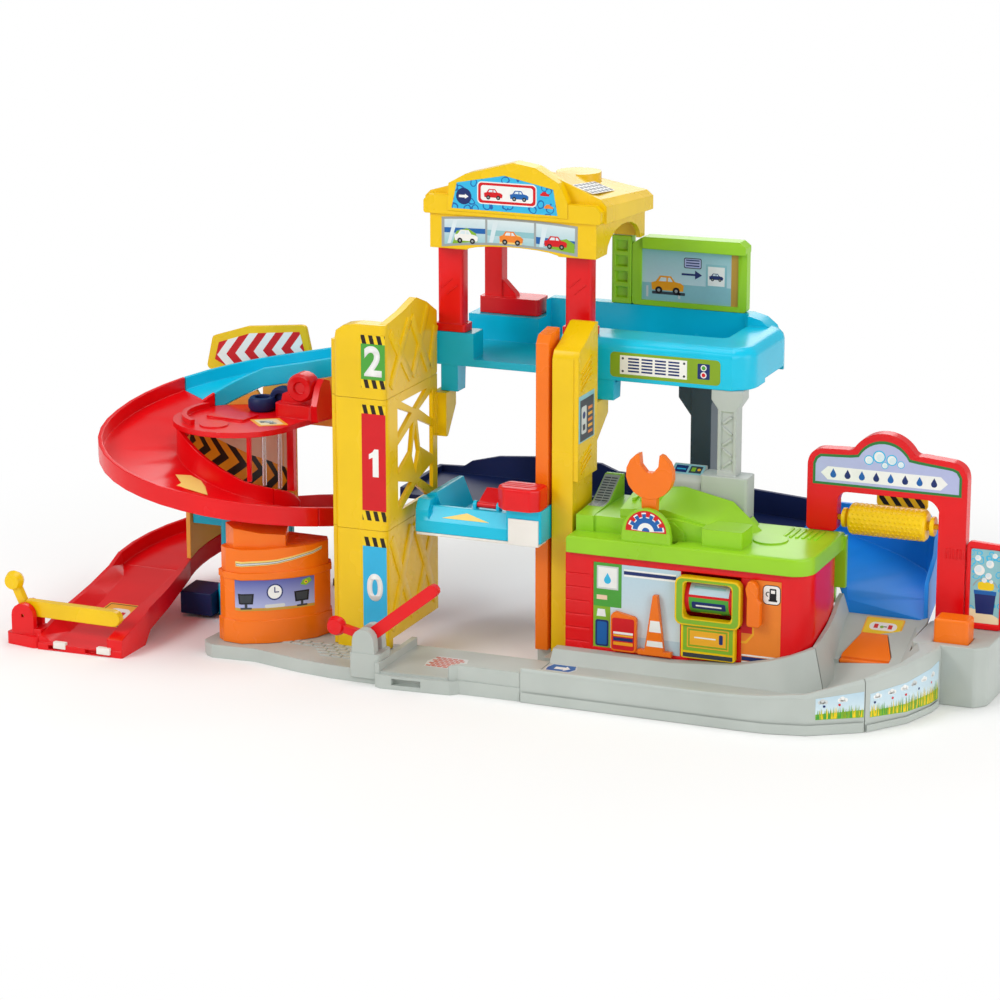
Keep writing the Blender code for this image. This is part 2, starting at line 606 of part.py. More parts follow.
def build_tower():
    low_seam, high_seam = TOWER_SEAMS
    column_plan = rounded([(TOWER_LEFT, TOWER_FRONT), (TOWER_RIGHT, TOWER_FRONT), (TOWER_RIGHT, -14.0),
                           (TOWER_LEFT, -14.0)], 5)
    hollow_plan = [(TOWER_LEFT + 3, TOWER_FRONT + 3), (TOWER_RIGHT - 4, TOWER_FRONT + 3),
                   (TOWER_RIGHT - 4, -10.0), (TOWER_LEFT + 3, -10.0)]
    plate_left = TOWER_RIGHT - 4.0

    def section(low, high, plate_low, floor):
        column = prism(column_plan, low, high)
        column = cut(column, prism(hollow_plan, low + floor, high + 5.0))
        plate = box(plate_left, TOWER_RIGHT - 0.4, TOWER_FRONT + 4, TOWER_BACK, plate_low, high)
        rib = box(-146.0, TOWER_LEFT + 2.5, -24.0, -14.5, low, high)
        return united(column, plate, rib)

    piece("tower_bottom", section(BASE_TOP + GAP, low_seam - GAP, 20.0, 3.0), "yellow")
    middle = section(low_seam, high_seam - GAP, low_seam, 3.0)
    holes = [
        [(-4, 223), (-4, 196), (26, 212)], [(4, 227), (60, 227), (34, 214)],
        [(72, 223), (72, 196), (42, 212)],
        [(-4, 190), (-4, 164), (24, 178), (30, 204)], [(72, 190), (72, 164), (44, 178), (38, 204)],
        [(-4, 158), (-4, 134), (26, 150)], [(4, 131), (60, 131), (34, 146)],
        [(72, 158), (72, 134), (42, 150)],
        [(34, 156), (42, 174), (34, 200), (26, 174)],
    ]
    middle = cut(middle, *[prism(hole, plate_left - 2, TOWER_RIGHT + 2, "X") for hole in holes])
    bracket = prism([(78, 180), (TOWER_BACK, 180), (100, 205), (100, 219.4), (78, 219.4)],
                    -97.0, -83.0, "X")
    bridge = box(-97.0, -91.5, 76.0, TOWER_BACK - 0.5, 182, 218)
    piece("tower_middle", united(middle, bracket, bridge), "yellow")

    column = prism(column_plan, high_seam, 300.0)
    crown = prism([(-150, 300), (-150, 282), (-142, 283), (-139, 293), (-132, 298), (-120, 300),
                   (-120, 305), (-150, 305)], -40, 0, "Y")
    column = cut(column, crown, prism(hollow_plan, high_seam - 5.0, 292.0))
    flank = prism(rounded([(-27, high_seam), (-27, 300), (8, 305), (38, 312), (60, 304), (TOWER_BACK, 292),
                           (TOWER_BACK, high_seam)], 3), TOWER_RIGHT - 7.0, TOWER_RIGHT - 0.4, "X")
    rib = box(-146.0, TOWER_LEFT + 2.5, -24.0, -14.5, high_seam, 284.0)
    piece("tower_top", united(column, flank, rib), "yellow")


# Lift

def build_lift():
    rail = prism([(23.5, BASE_TOP + GAP), (23.5, 284), (29, 291), (50, 294), (50, BASE_TOP + GAP)],
                 RAIL_LEFT, RAIL_RIGHT, "X")
    piece("lift_rail", rail, "orange")
    strip = prism([(30.8, BASE_TOP + GAP), (30.8, 272), (48, 279), (60, 281), (60, BASE_TOP + GAP)],
                  RAIL_RIGHT + GAP, 38.0, "X")
    piece("rail_strip", strip, "red")
    outline = [(23, BASE_TOP + GAP), (23, 272), (27, 279), (40, 284), (64, 297), (70, 297),
               (70, BASE_TOP + GAP)]
    pole = prism(outline, 38.4, 57.6, "X")
    pole = cut(pole, prism([(27, 10), (27, 270), (40, 279), (66, 290), (66, 10)], 42.0, 54.0, "X"),
               box(42, 54, 60, 75, 5, 160))
    screen = prism([(24, 166), (24, 273), (27, 279), (40, 284), (64, 297), (70, 297), (70, 166)],
                   56.0, 62.0, "X")
    gusset = prism([(66, 184), (72, 188), (102, 210), (102, 224.6), (66, 224.6)], 44.0, 60.0, "X")
    piece("service_pole", united(pole, screen, gusset), "yellow")

    floor = box(-79, 22.4, 10, 83.5, 118, LEVEL_1)
    front = prism([(0, 114.2), (0, 124), (8, 136.5), (12, 136.5), (14, 122), (14, 114.2)], -79, 6, "X")
    left = prism([(-79, 118), (-79, 141), (-71, 145.5), (-67, 145.5), (-57, 121), (-57, 118)], 18, 79, "Y")
    left_front = prism([(0.5, 118), (0.5, 134), (6, 142), (20, 142), (20, 118)], -79, -67, "X")
    right = prism([(22.4, 118), (22.4, 142), (17, 142), (8, 121), (8, 118)], 18, 79, "Y")
    housing = prism(rounded([(5, 0), (37.3, 0), (37.3, 22.4), (5, 22.4)], 2), 114.2, 143.0)
    ear = box(35.5, 37.3, 20, 29.5, 114.2, 143.0)
    x, y, z = LIFT_FLAP_AXIS
    lug = [(y - 3.5, 120), (y - 3.5, z)] + arc(y, z, 3.5, 180, 0, 6)[1:] + [(y + 3.5, 120)]
    lugs = [prism(lug, low, low + 3, "X") for low in (-30.3, -8.7)]
    hollow = box(9, 33.5, 3.5, 19, 112, 139)
    tray = united(floor, front, left, left_front, right, housing, ear, *lugs)
    tray = cut(tray, hollow, cylinder((x, y, z), PIN_HOLE, 30, "X", 12))
    piece("lift_tray", tray, "sky blue", (-21.0, 41.0, LEVEL_1))
    shell = box(-78, 21.5, -0.8, 81, LIFT_BOTTOM, 113.9)
    shell = united(shell, box(8, 35.8, -1.8, 18, LIFT_BOTTOM, 113.9), box(8, 35.8, -1.8, -0.4, 112, 135),
                   box(-70, 4, 20, 24, 112, 117.6), box(-70, 16, 60, 64, 112, 117.6))
    piece("lift_shell", shell, "cream", (-21.0, 41.0, LEVEL_1))
    grip = prism(rounded([(-4, 4), (6, -8), (30, -8), (37.3, -2), (37.3, 21), (0, 21)], 6), 143.5, 163.0)
    grip = bevelled(grip, 3.0, above=160.0)
    grooves = [box(-10, 32, y0, y0 + 2.2, 161.2, 170) for y0 in (1.0, 6.0, 11.0)]
    piece("lift_handle", cut(grip, *grooves), "red", (-21.0, 41.0, LEVEL_1))
    tilt = Matrix.Rotation(math.radians(LIFT_FLAP_TILT), 2)
    blade = [(0, -1.2), (23, -1.2), (23, 1.2), (0, 1.2)]
    blade = [tuple(tilt @ Vector(point) + Vector((y, z))) for point in blade]
    flap = united(prism(blade, -26.9, -9.1, "X"), cylinder((x, y, z), 2.6, 17.8, "X", 12),
                  cylinder((x, y, z), PIN, 23.6, "X", 12))
    piece("lift_flap", flap, "red", LIFT_FLAP_AXIS)


# Upper deck and cabin

def build_deck():
    plan = [(20, DECK_FRONT), (178, DECK_FRONT)] + arc(170, 108.4, 24, -60, 0, 4)
    plan += arc(170, 178, 24, 0, 70, 4) + [(173, DECK_BACK), (20, DECK_BACK)]
    right = prism(plan, DECK_BOTTOM, DECK_RIM)
    right = bevelled(right, 9.0, above=DECK_RIM - 1.0, steps=3, steep=70.0)
    left = box(-98, 24, DECK_FRONT + 0.4, DECK_BACK - 0.4, DECK_BOTTOM + 0.4, DECK_LOW_RIM)
    foot = DECK_BOTTOM + 1.0
    top = DECK_BACK_RIM
    back = prism([(-29, foot), (-29, top), (160, top), (172, top - 3), (181, top - 10), (185, top - 20),
                  (185, foot)], 180, 201.2, "Y")
    tab_front = DECK_FRONT + 0.8
    tabs = [prism([(tab_front, low), (102, low), (104, 250), (tab_front, 250)], x0, x0 + 16, "X")
            for x0, low in ((-91, 219.8), (55, 225))]
    lane = [(-105, 107), (-60, 107), (-60, 80), (22, 80), (22, 117), (30, 125), (156, 125), (160, 130),
            (160, 185), (155, 189), (-28, 189), (-30, 165), (-105, 165)]
    road = prism(lane, LEVEL_2, DECK_BACK_RIM + 12.0)
    under = [box(-55, 19, 90, 160, 240, 246.5), box(30, 150, 90, 118, 240, DECK_RIM - 4.0),
             box(30, 195, 128, 180, 240, 246.5)]
    ridge = box(60, 130, 150, 152.5, LEVEL_2 - 1, LEVEL_2 + 1.6)
    seat = box(22.4, 53, DECK_FRONT + 0.4, 104, DECK_RIM - 17.0, DECK_RIM)
    deck = cut(united(right, left, back, *tabs), road, *under)
    piece("upper_deck", united(deck, ridge, seat), "sky blue")


def build_cabin():
    def above(points):
        """An outline of (place, height over the cabin wall's lower edge) in grid heights."""
        return [(place, CABIN_BASE + height) for place, height in points]

    ceiling = CABIN_BASE + 33.6
    shoulder = CABIN_BASE - 0.4
    posts = (("cabin_post_left", -94.6, DECK_LOW_RIM + GAP), ("cabin_post_right", 25.0, DECK_RIM + GAP))
    for name, x0, base in posts:
        shaft = prism(rounded([(x0, 86), (x0 + 24, 86), (x0 + 24, 101), (x0, 101)], 3, 2), base, shoulder)
        foot = prism(rounded([(x0 - 2.5, 85), (x0 + 27, 85), (x0 + 27, 103), (x0 - 2.5, 103)], 3, 2),
                     base, base + 7)
        tenon = box(x0 + 4, x0 + 21, 89, 99, CABIN_BASE - 10, ceiling)
        piece(name, united(shaft, foot, tenon), "red")
    block = rounded([(-91, 172), (-34, 172), (-34, 199), (-91, 199)], 3, 2)
    block = prism(block, DECK_LOW_RIM + GAP, DECK_BACK_RIM)
    shaft = box(-87, -70.5, 176, 189.5, DECK_BACK_RIM - 8, ceiling)
    low = DECK_BACK_RIM - 3
    brace = prism([(-75, low), (-56, low), (-58, low + 6), (-70, low + 18), (-75, low + 18)], 178, 187, "Y")
    piece("cabin_back_post", united(block, shaft, brace), "red")
    sill = DECK_BACK_RIM + GAP
    ladder = box(30, 48.6, 188, 199.5, sill, shoulder)
    rungs = [box(34, 44.6, 186, 192, CABIN_BASE - drop, CABIN_BASE - drop + 9) for drop in (56, 42, 28, 14)]
    piece("ladder_post", cut(ladder, *rungs), "green")
    frame = [(49.2, sill), (156, sill)] + above([(156, -4), (150, 0), (58, -1), (49.2, -7)])
    frame = prism(rounded(frame, 3), 188.5, 198, "Y")
    hood = rounded(above([(60, -10), (156, -10), (156, -3), (150, 1.5), (60, 0.5)]), 2)
    hood = prism(hood, 184, 199.5, "Y")
    frame = cut(united(frame, hood), box(58, 148, 180, 190.5, sill + 4.7, CABIN_BASE - 11))
    piece("deck_sign", frame, "green")

    body = box(-95, 59, 72, 193, CABIN_BASE, CABIN_BASE + 36)
    front = above([(-102, 30), (-102, 44), (-97, 49), (-70, 57), (-17, 74), (8, 72), (60, 51), (66, 45),
                   (66, 30)])
    back = above([(-102, 24), (-102, 36), (-97, 40), (-70, 44), (-17, 50), (8, 50), (60, 41), (66, 36),
                  (66, 24)])
    cover = loft([[(x, 78.0, z) for x, z in front], [(x, 195.0, z) for x, z in back]])
    eaves = above([(-100, 30.5), (-100, 42), (-95, 47), (59, 46), (64, 41), (64, 30.5)])
    eaves = prism(rounded(eaves, 2), 69.0, 90.0, "Y")
    gable = above([(-77, 34), (-76, 58), (-60, 67), (-16, 79), (4, 76), (26, 64), (34, 48), (34, 34)])
    gable = prism(gable, 68.0, 84.0, "Y")
    disc = cylinder((6, 168, CABIN_BASE + 52), 20, 12, "Z", 20)
    room = box(-92, 55, 76, 190, CABIN_BASE - 10, CABIN_BASE + 34)
    front_curve = [(-18 + 44 * u, 6 * v - 1) for u, v in arc(0, 0, 1, 180, 0, 9)]
    front_arch = prism(above([(-62, -10)] + front_curve + [(26, -10)]), 60, 80, "Y")
    side_curve = [(140 + 42 * u, 20 * v) for u, v in arc(0, 0, 1, 160, 20, 7)]
    side_arch = above([(98, -10), (98, 0)] + side_curve + [(182, 0), (182, -10)])
    side_arch = prism(side_arch, -110, 80, "X")
    roof = cut(united(body, cover, eaves, gable, disc), room, front_arch, side_arch)
    piece("cabin_roof", roof, "yellow")


def build_columns():
    shaft = box(166, 183, 84.8, 101, 160, DECK_BOTTOM - GAP)
    base = prism(rounded([(152.4, 80), (195, 80), (195, 103.2), (152.4, 103.2)], 3, 2), 125.3, 168)
    cap = loft([[(166, 84.8, 226), (183, 84.8, 226), (183, 101, 226), (166, 101, 226)],
                [(160, 84.8, 234), (188, 84.8, 234), (188, 103, 234), (160, 103, 234)],
                [(160, 84.8, 242.7), (188, 84.8, 242.7), (188, 103, 242.7), (160, 103, 242.7)]])
    panel = prism([(169, 172), (180, 172), (180, 224), (169, 224)], 80, 86.6, "Y")
    piece("light_column", cut(united(shaft, base, cap), panel), "light grey")
    dark = box(110, 129, 177, 200, 0, DECK_BOTTOM - GAP)
    foot = prism(rounded([(101, 176), (135, 176), (135, 203), (101, 203)], 4, 2), 0, 6)
    cap = prism([(110, 194), (98, 210), (98, 242.7), (132, 242.7), (132, 216), (129, 206)], 178, 199, "Y")
    clip = box(112, 125, 174.4, 178, 104, 124)
    core = box(113, 126, 180, 197, -1, 195)
    piece("dark_column", cut(united(dark, foot, cap, clip), core), "dark grey")
    desk = prism([(84, 125.3), (84, 158), (88, 164), (103.2, 171), (103.2, 125.3)], 122, 152.0, "X")
    piece("console", desk, "light grey")


# Middle level road

def build_rear_track():
    landing = box(-131, 26, 84.4, 172, 118, LEVEL_1)
    lane = prism([(25, 118), (224.7, 107.5), (224.7, 111), (25, LEVEL_1)], 104, 172, "Y")
    outer = prism([(-131, 115), (-131, 127.5), (-106, 128.5), (-98, 134), (-71, 141), (-37, 144), (28, 144),
                   (44, 138), (168, 135), (224.7, 131), (224.7, 105), (25, 115)], 170, 174, "Y")
    inner = prism([(24, 115), (24, 133), (224.7, 119.5), (224.7, 105)], 103.8, 107, "Y")
    cheek = box(24, 28, 84.4, 106, 115, 133)
    end = box(-131, -127, 84.4, 173, 115, 127.5)
    piece("rear_track", united(landing, lane, outer, inner, cheek, end), "navy")

    # Curve down to the wash: x of the inner corner, outer x and y, then heights of the floor and outer rim
    stations = (
        (225, 225, 174, 111, 131), (258, 258, 174, 104.5, 131), (264, 283, 174, 97.5, 131),
        (268, 311, 174, 88.5, 131), (271.5, 334, 167, 80.5, 130), (274, 346, 152, 73.5, 122),
        (276, 350.5, 130, 64.5, 104), (277.6, 351, 104, 53.6, 86),
    )
    sections = []
    for x0, x1, y1, floor, outer_top in stations:
        length = math.hypot(x1 - x0, y1 - 104.0)
        wall = 4.0 * length / (y1 - 104.0) if y1 == 174 else 4.0
        profile = [(0, floor - 4), (0, floor + 11), (3.2, floor + 11), (3.2, floor), (length - wall, floor),
                   (length - wall, outer_top), (length, outer_top), (length, floor - 4),
                   (length - wall, floor - 4), (3.2, floor - 4)]
        sections.append(upright((x0, 104.0), (x1, y1), profile))
    piece("curve_track", loft(sections), "blue")
    sign = prism(rounded([(284, 131.4), (330, 131.4), (330, 150), (284, 152)], 3, 2), 170.6, 173.2, "Y")
    piece("hazard_sign", sign, "yellow")


# Fuel station

def build_station():
    plan = [(58, 6), (258, 6)] + arc(258, 24, 18, -75, 0, 4) + [(276, 58), (274.8, 72), (273, 86), (58, 86)]
    body = prism(plan, BASE_TOP + GAP, 109.7)
    room = box(62, 270, 34, 92, 5, 105)
    niche = box(162.6, 215.4, -2, 32, 58, 103)
    front_room = box(62, 158, 11, 36, 5, 105)
    right_room = box(221, 266, 11, 36, 5, 105)
    sheet = box(83, 251, 2, 6.8, 27, 103)
    left_bricks = [box(56, 80, 3, 6.7, low, low + 1.2) for low in (30, 42, 54, 66, 78, 90)]
    body = cut(body, room, niche, front_room, right_room, sheet, *left_bricks)
    piece("station_body", body, "red")

    roof_plan = [(60, 1.5), (258, 1.5)] + arc(258, 20, 18.5, -75, 0, 4) + [(276.5, 103.2), (60, 103.2)]
    slab = bevelled(prism(roof_plan, 110.0, 125.0), 3.0, above=124.0, steps=2, steep=70.0)
    under = box(66, 270, 8, 97, 105, 120)
    left = prism([(20, 120), (20, 139), (60, 141), (90, 158), (96, 158), (96, 120)], 62, 78, "X")
    deck = prism([(74, 120), (74, 139), (108, 139), (150, 143), (176, 139), (196, 132), (206, 120)],
                 22, 96, "Y")
    hill = loft([[(100, 26, 120), (100, 26, 146), (140, 26, 149), (178, 26, 140), (200, 26, 120)],
                 [(96, 78, 120), (96, 78, 152), (140, 78, 157), (184, 78, 148), (216, 78, 120)]])
    half = prism([(109, 120), (153, 120), (153, 132)] + arc(131, 133, 21.5, 0, 180, 10) + [(109, 132)],
                 4.5, 9.5, "Y")
    behind = prism([(102, 120), (160, 120), (160, 132), (150, 140), (112, 140), (102, 132)], 20.2, 28, "Y")
    block = prism(rounded([(177, 12), (214, 12), (214, 42), (177, 42)], 3, 2), 122, 140)
    stand = cylinder((226, 52, 125), 15, 2.4, "Z", 20)
    panel = united(box(256, 270, 98, 103.2, 62, 122), box(256, 279, 98, 103.2, 76, 122))
    x, y, z = WRENCH_AXIS
    roof = united(cut(slab, under), left, deck, hill, half, behind, block, stand, panel)
    well = box(107, 155, 9.8, 20.0, 119.5, 170)
    holes = cylinder((x, y, z), PIN_HOLE, 17.5, "Y", 12)
    room_behind = box(121, 196, 79.6, 110, 125.0, 170)
    piece("station_roof", cut(roof, well, room_behind, holes), "green")

    head = arc(x, 182, 21, 125, 415, 14)
    jaw = [(x + 8, 190), (x + 3, 184), (x - 3, 184), (x - 8, 190)]
    outline = head + [(x + 9, 200)] + jaw + [(x - 9, 200)]
    wrench = prism(outline, y - 4.0, y + 4.0, "Y")
    neck = prism([(x - 6, z - 4), (x + 6, z - 4), (x + 7, 170), (x - 7, 170)], y - 3.6, y + 3.6, "Y")
    hub = cylinder((x, y, z), 7.5, 8.0, "Y", 16)
    pin = cylinder((x, y, z), PIN, 16.0, "Y", 12)
    piece("wrench", united(wrench, neck, hub, pin), "orange", WRENCH_AXIS)


def build_pump():
    x, y, z = DRUM_AXIS
    plate = prism(rounded([(160, 59), (218, 59), (218, 101), (160, 101)], 6), -2.5, 5.6, "Y")
    lower = prism(rounded([(165, 29.3), (213, 29.3), (213, 62), (165, 62)], 2, 2), 0.5, 5.5, "Y")
    window = prism(rounded([(167.5, 65), (210.5, 65), (210.5, 97), (167.5, 97)], 4, 2), -5, 10, "Y")
    ears = [prism([(4.5, 72), (16, 72)] + arc(y + 1, z, 7, -50, 90, 5) + [(4.5, 90)], low, low + 3, "X")
            for low in (163.2, 211.8)]
    frame = cut(united(plate, lower, *ears), window, cylinder((x, y, z), PIN_HOLE, 60, "X", 12))
    piece("pump_frame", frame, "yellow")
    drum = united(cylinder((x, y, z), DRUM_RADIUS, 43.0, "X", 16), cylinder((x, y, z), PIN, 50.5, "X", 12))
    piece("pump_drum", drum, "green", DRUM_AXIS)
    handle = prism(rounded([(223, 63), (235, 63), (235, 84), (232, 88), (232, 98), (229, 103), (224, 103),
                            (221.5, 96), (223, 88)], 2, 2), -1.5, 6.0, "Y")
    piece("pump_nozzle", handle, "orange")
    can = prism(rounded([(101, 27), (124, 27), (124, 58), (104, 62), (101, 58)], 3, 2), 2.0, 6.2, "Y")
    cone = prism([(126, 27), (156, 27), (156, 31), (149, 31), (143, 80), (139, 80), (132, 31), (126, 31)],
                 1.0, 6.2, "Y")
    bridge = box(120, 130, 3, 6.0, 27, 30)
    piece("cone_relief", united(can, cone, bridge), "orange")


# Car wash

def build_wash():
    x, y, z = ROLLER_AXIS
    outline = [(243, 125.4), (270, 125.4), (270, 155), (275, 161), (352, 161), (359, 154), (359, 52.4),
               (383, 52.4), (383, 184), (380, 191), (373, 195.5), (344, 198)]
    outline += arc(310, 184, 31, 26, 154, 8) + [(276, 198), (252, 197), (246, 193), (243, 186)]
    gate = prism(outline, GATE_FRONT, GATE_BACK, "Y")
    holes = [cylinder((262, y, z), 2.62, 18, "X", 20), cylinder((367, y, z), 2.62, 18, "X", 20)]
    piece("wash_gate", cut(gate, *holes), "red")
    rim = [(2.5, -47.5), (2.5, -40.5), (8.5, -40.5), (8.5, -37), (4.0, -36), (4.0, -34), (11.5, -34),
           (13.5, -32)]
    profile = [(0, -47.5)] + rim + [(13.5, 32), (11.5, 34), (4.0, 34), (4.0, 36), (8.5, 37), (8.5, 40.5),
                                    (2.5, 40.5), (2.5, 47.5), (0, 47.5)]
    piece("wash_roller", turned(profile, ROLLER_AXIS, "X", 20), "yellow", ROLLER_AXIS)
    px, py, pz = WASH_FLAP_AXIS
    rise = math.tan(WASH_FLAP_SLOPE)
    plan = [(291.2, 49.5), (333.8, 49.5), (333.8, 53), (322.6, 80.4), (300.4, 80.4), (291.2, 53)]
    top = [(a, b, pz + 2.2 + (b - py) * rise) for a, b in plan]
    low = [(a, b, pz - 1.0 + (b - py) * rise) for a, b in plan]
    barrel = cylinder((px, py, pz - 1.2), 2.6, 42.6, "X", 12)
    pin = cylinder((px, py, pz - 1.2), 1.3, 50.0, "X", 12)
    blade = united(loft([low, top]), barrel, pin)
    piece("wash_flap", blade, "orange", (px, py, pz - 1.2))
    block = prism(rounded([(369, 54), (399, 54), (399, 76), (369, 76)], 3, 2), 40.0, 72.0)
    piece("push_block", bevelled(block, 2.0, above=71.0), "orange", (384, 65, 52))
    sign = prism(rounded([(383.4, 52.4), (417, 52.4), (417, 127), (383.4, 129)], 5, 3), 100.0, 106.0, "Y")
    sign = cut(sign, box(387, 413.5, 95, 101.5, 57, 123))
    piece("side_sign", sign, "red")


def main():
    for old in list(bpy.data.objects):
        bpy.data.objects.remove(old)
    build_spiral()
    build_exit_ramp()
    build_barriers()
    build_platform()
    build_core()
    build_hut()
    build_link_pole()
    build_chevron_sign()
    build_bases()
    build_tower()
    build_lift()
    build_deck()
    build_cabin()
    build_columns()
    build_rear_track()
    build_station()
    build_pump()
    build_wash()


main()
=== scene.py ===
import json
import math
import random

import bmesh
import bpy
from mathutils import Matrix, Vector


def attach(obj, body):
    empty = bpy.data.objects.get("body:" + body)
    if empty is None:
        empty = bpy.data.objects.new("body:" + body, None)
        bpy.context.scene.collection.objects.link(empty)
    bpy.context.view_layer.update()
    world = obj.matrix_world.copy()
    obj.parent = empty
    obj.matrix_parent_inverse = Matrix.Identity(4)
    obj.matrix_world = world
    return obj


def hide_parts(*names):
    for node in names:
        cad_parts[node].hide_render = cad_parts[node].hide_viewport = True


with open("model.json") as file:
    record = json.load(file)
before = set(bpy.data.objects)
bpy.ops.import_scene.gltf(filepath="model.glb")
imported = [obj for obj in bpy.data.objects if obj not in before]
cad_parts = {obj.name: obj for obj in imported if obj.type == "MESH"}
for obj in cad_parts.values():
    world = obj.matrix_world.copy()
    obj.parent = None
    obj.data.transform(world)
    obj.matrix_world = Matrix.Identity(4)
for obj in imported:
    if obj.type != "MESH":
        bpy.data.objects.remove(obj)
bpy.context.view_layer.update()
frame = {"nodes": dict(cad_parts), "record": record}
print("frame loaded with", len(frame["nodes"]), "parts")

# Toy parking garage: moulded plastic parts with printed vinyl labels.
# Places are read off the drawing grid of the toy, in millimetres: x right along the front, y back, z up.
mm = 0.001
gridOrigin = Vector((-8.758, 48.28, 0.0))  # the grid point under the middle of the toy


def atGrid(x, y, z):
    return (Vector((x, y, z)) - gridOrigin) * mm


bodyOf = {}
for bodyName, members in frame["record"]["behaviour"]["bodies"].items():
    for nodeName in members:
        bodyOf[nodeName] = bodyName
slotOf = {part["node"]: part["material_slot"] for part in frame["record"]["subparts"]}


# Materials

def linearColour(hexValue):
    channels = [int(hexValue[place:place + 2], 16) / 255 for place in (1, 3, 5)]
    return [c / 12.92 if c <= 0.04045 else ((c + 0.055) / 1.055) ** 2.4 for c in channels] + [1.0]


# The same hue, lighter or darker, still a hex colour
def shaded(hexValue, factor):
    channels = [min(255, round(int(hexValue[place:place + 2], 16) * factor)) for place in (1, 3, 5)]
    return "#%02X%02X%02X" % tuple(channels)


def addNode(tree, kind, settings=None, links=None):
    node = tree.nodes.new(kind)
    for key, value in (settings or {}).items():
        if isinstance(key, int) or key in node.inputs:
            node.inputs[key].default_value = value
        else:
            setattr(node, key, value)
    for key, source in (links or {}).items():
        tree.links.new(source, node.inputs[key])
    return node


def emptyMaterial(name):
    material = bpy.data.materials.new(name)
    material.use_nodes = True
    material.node_tree.nodes.clear()
    return material, material.node_tree


# Injection moulded ABS: bright even pigment, a polished mould with a faint waviness, soft rounded edges
absPlastic = {
    "ior": 1.53,
    "specular": 0.34,       # below the usual 0.5, so that pale surroundings do not wash out the pigment
    "flowSize": 55.0,       # mm across a patch where the pigment flowed a little differently
    "flowShade": 0.93,      # the darker end of that patch
    "waveSize": 9.0,        # mm between the sink marks that bend a reflection
    "waveHeight": 0.018,    # mm
    "grainSize": 1.6,       # mm; the real mould grain is near 0.1 mm and would not show
    "grainHeight": 0.003,   # mm
    "edgeRound": 0.9,       # mm
    "glossSpread": (-0.05, 0.07),   # how far the roughness wanders with the flow
}
# Each colour with its roughness
plasticLooks = {
    "red": ("#E4040E", 0.24), "yellow": ("#F2C604", 0.26), "green": ("#98D124", 0.28),
    "sky_blue": ("#04C2E4", 0.24), "navy": ("#0A1F56", 0.50), "blue": ("#1488EA", 0.32),
    "orange": ("#FF760C", 0.26), "light_grey": ("#B8BFB9", 0.42), "dark_grey": ("#44555F", 0.38),
    "cream": ("#EFEBE3", 0.36), "light_orange": ("#F6B24C", 0.34), "brown": ("#58382C", 0.38),
}


def mouldedPlastic(name, hexValue, roughness):
    material, tree = emptyMaterial(name)
    place = addNode(tree, "ShaderNodeTexCoord").outputs["Object"]
    flow = addNode(tree, "ShaderNodeTexNoise", {"Scale": 1000 / absPlastic["flowSize"], "Detail": 3.0},
                   {"Vector": place})
    tint = addNode(tree, "ShaderNodeMix",
                   {"data_type": "RGBA", 6: linearColour(shaded(hexValue, absPlastic["flowShade"])),
                    7: linearColour(shaded(hexValue, 2 - absPlastic["flowShade"]))},
                   {"Factor": flow.outputs["Fac"]})
    smoothest, roughest = [roughness + spread for spread in absPlastic["glossSpread"]]
    gloss = addNode(tree, "ShaderNodeMapRange", {"To Min": smoothest, "To Max": roughest},
                    {"Value": flow.outputs["Fac"]})
    wave = addNode(tree, "ShaderNodeTexNoise", {"Scale": 1000 / absPlastic["waveSize"], "Detail": 1.0},
                   {"Vector": place})
    grain = addNode(tree, "ShaderNodeTexNoise", {"Scale": 1000 / absPlastic["grainSize"], "Detail": 2.0},
                    {"Vector": place})
    soft = addNode(tree, "ShaderNodeBevel", {"samples": 4, "Radius": absPlastic["edgeRound"] * mm})
    sink = addNode(tree, "ShaderNodeBump", {"Strength": 1.0, "Distance": absPlastic["waveHeight"] * mm},
                   {"Height": wave.outputs["Fac"], "Normal": soft.outputs["Normal"]})
    skin = addNode(tree, "ShaderNodeBump", {"Strength": 1.0, "Distance": absPlastic["grainHeight"] * mm},
                   {"Height": grain.outputs["Fac"], "Normal": sink.outputs["Normal"]})
    shader = addNode(tree, "ShaderNodeBsdfPrincipled",
                     {"IOR": absPlastic["ior"], "Specular IOR Level": absPlastic["specular"]},
                     {"Base Color": tint.outputs[2], "Roughness": gloss.outputs["Result"],
                      "Normal": skin.outputs["Normal"]})
    addNode(tree, "ShaderNodeOutputMaterial", None, {"Surface": shader.outputs["BSDF"]})
    return material


# Extruded clear polystyrene rod: colourless, sharp reflections, a little flow haze
styrene = {"ior": 1.59, "clearness": 0.85, "tint": "#EDEFF2", "hazeSize": 6.0, "gloss": (0.06, 0.16)}


def clearStyrene(name):
    material, tree = emptyMaterial(name)
    place = addNode(tree, "ShaderNodeTexCoord").outputs["Object"]
    haze = addNode(tree, "ShaderNodeTexNoise", {"Scale": 1000 / styrene["hazeSize"]}, {"Vector": place})
    least, most = styrene["gloss"]
    gloss = addNode(tree, "ShaderNodeMapRange", {"To Min": least, "To Max": most},
                    {"Value": haze.outputs["Fac"]})
    shader = addNode(tree, "ShaderNodeBsdfPrincipled",
                     {"IOR": styrene["ior"], "Transmission Weight": styrene["clearness"],
                      "Base Color": linearColour(styrene["tint"])},
                     {"Roughness": gloss.outputs["Result"]})
    addNode(tree, "ShaderNodeOutputMaterial", None, {"Surface": shader.outputs["BSDF"]})
    return material


# Printed vinyl labels: flat ink under a smooth laminate, a little paper mottle; sizes in mm
vinyl = {
    "ior": 1.5, "specular": 0.3, "roughness": 0.34,
    "mottleSize": 2.2, "mottle": (0.96, 1.02),      # darkest and palest speck of the paper
    "inkSize": 14.0, "inkShades": (0.97, 1.02),     # patches where more or less ink was laid
    "chartUnit": 100.0,                             # one unit of a label's own print map
}


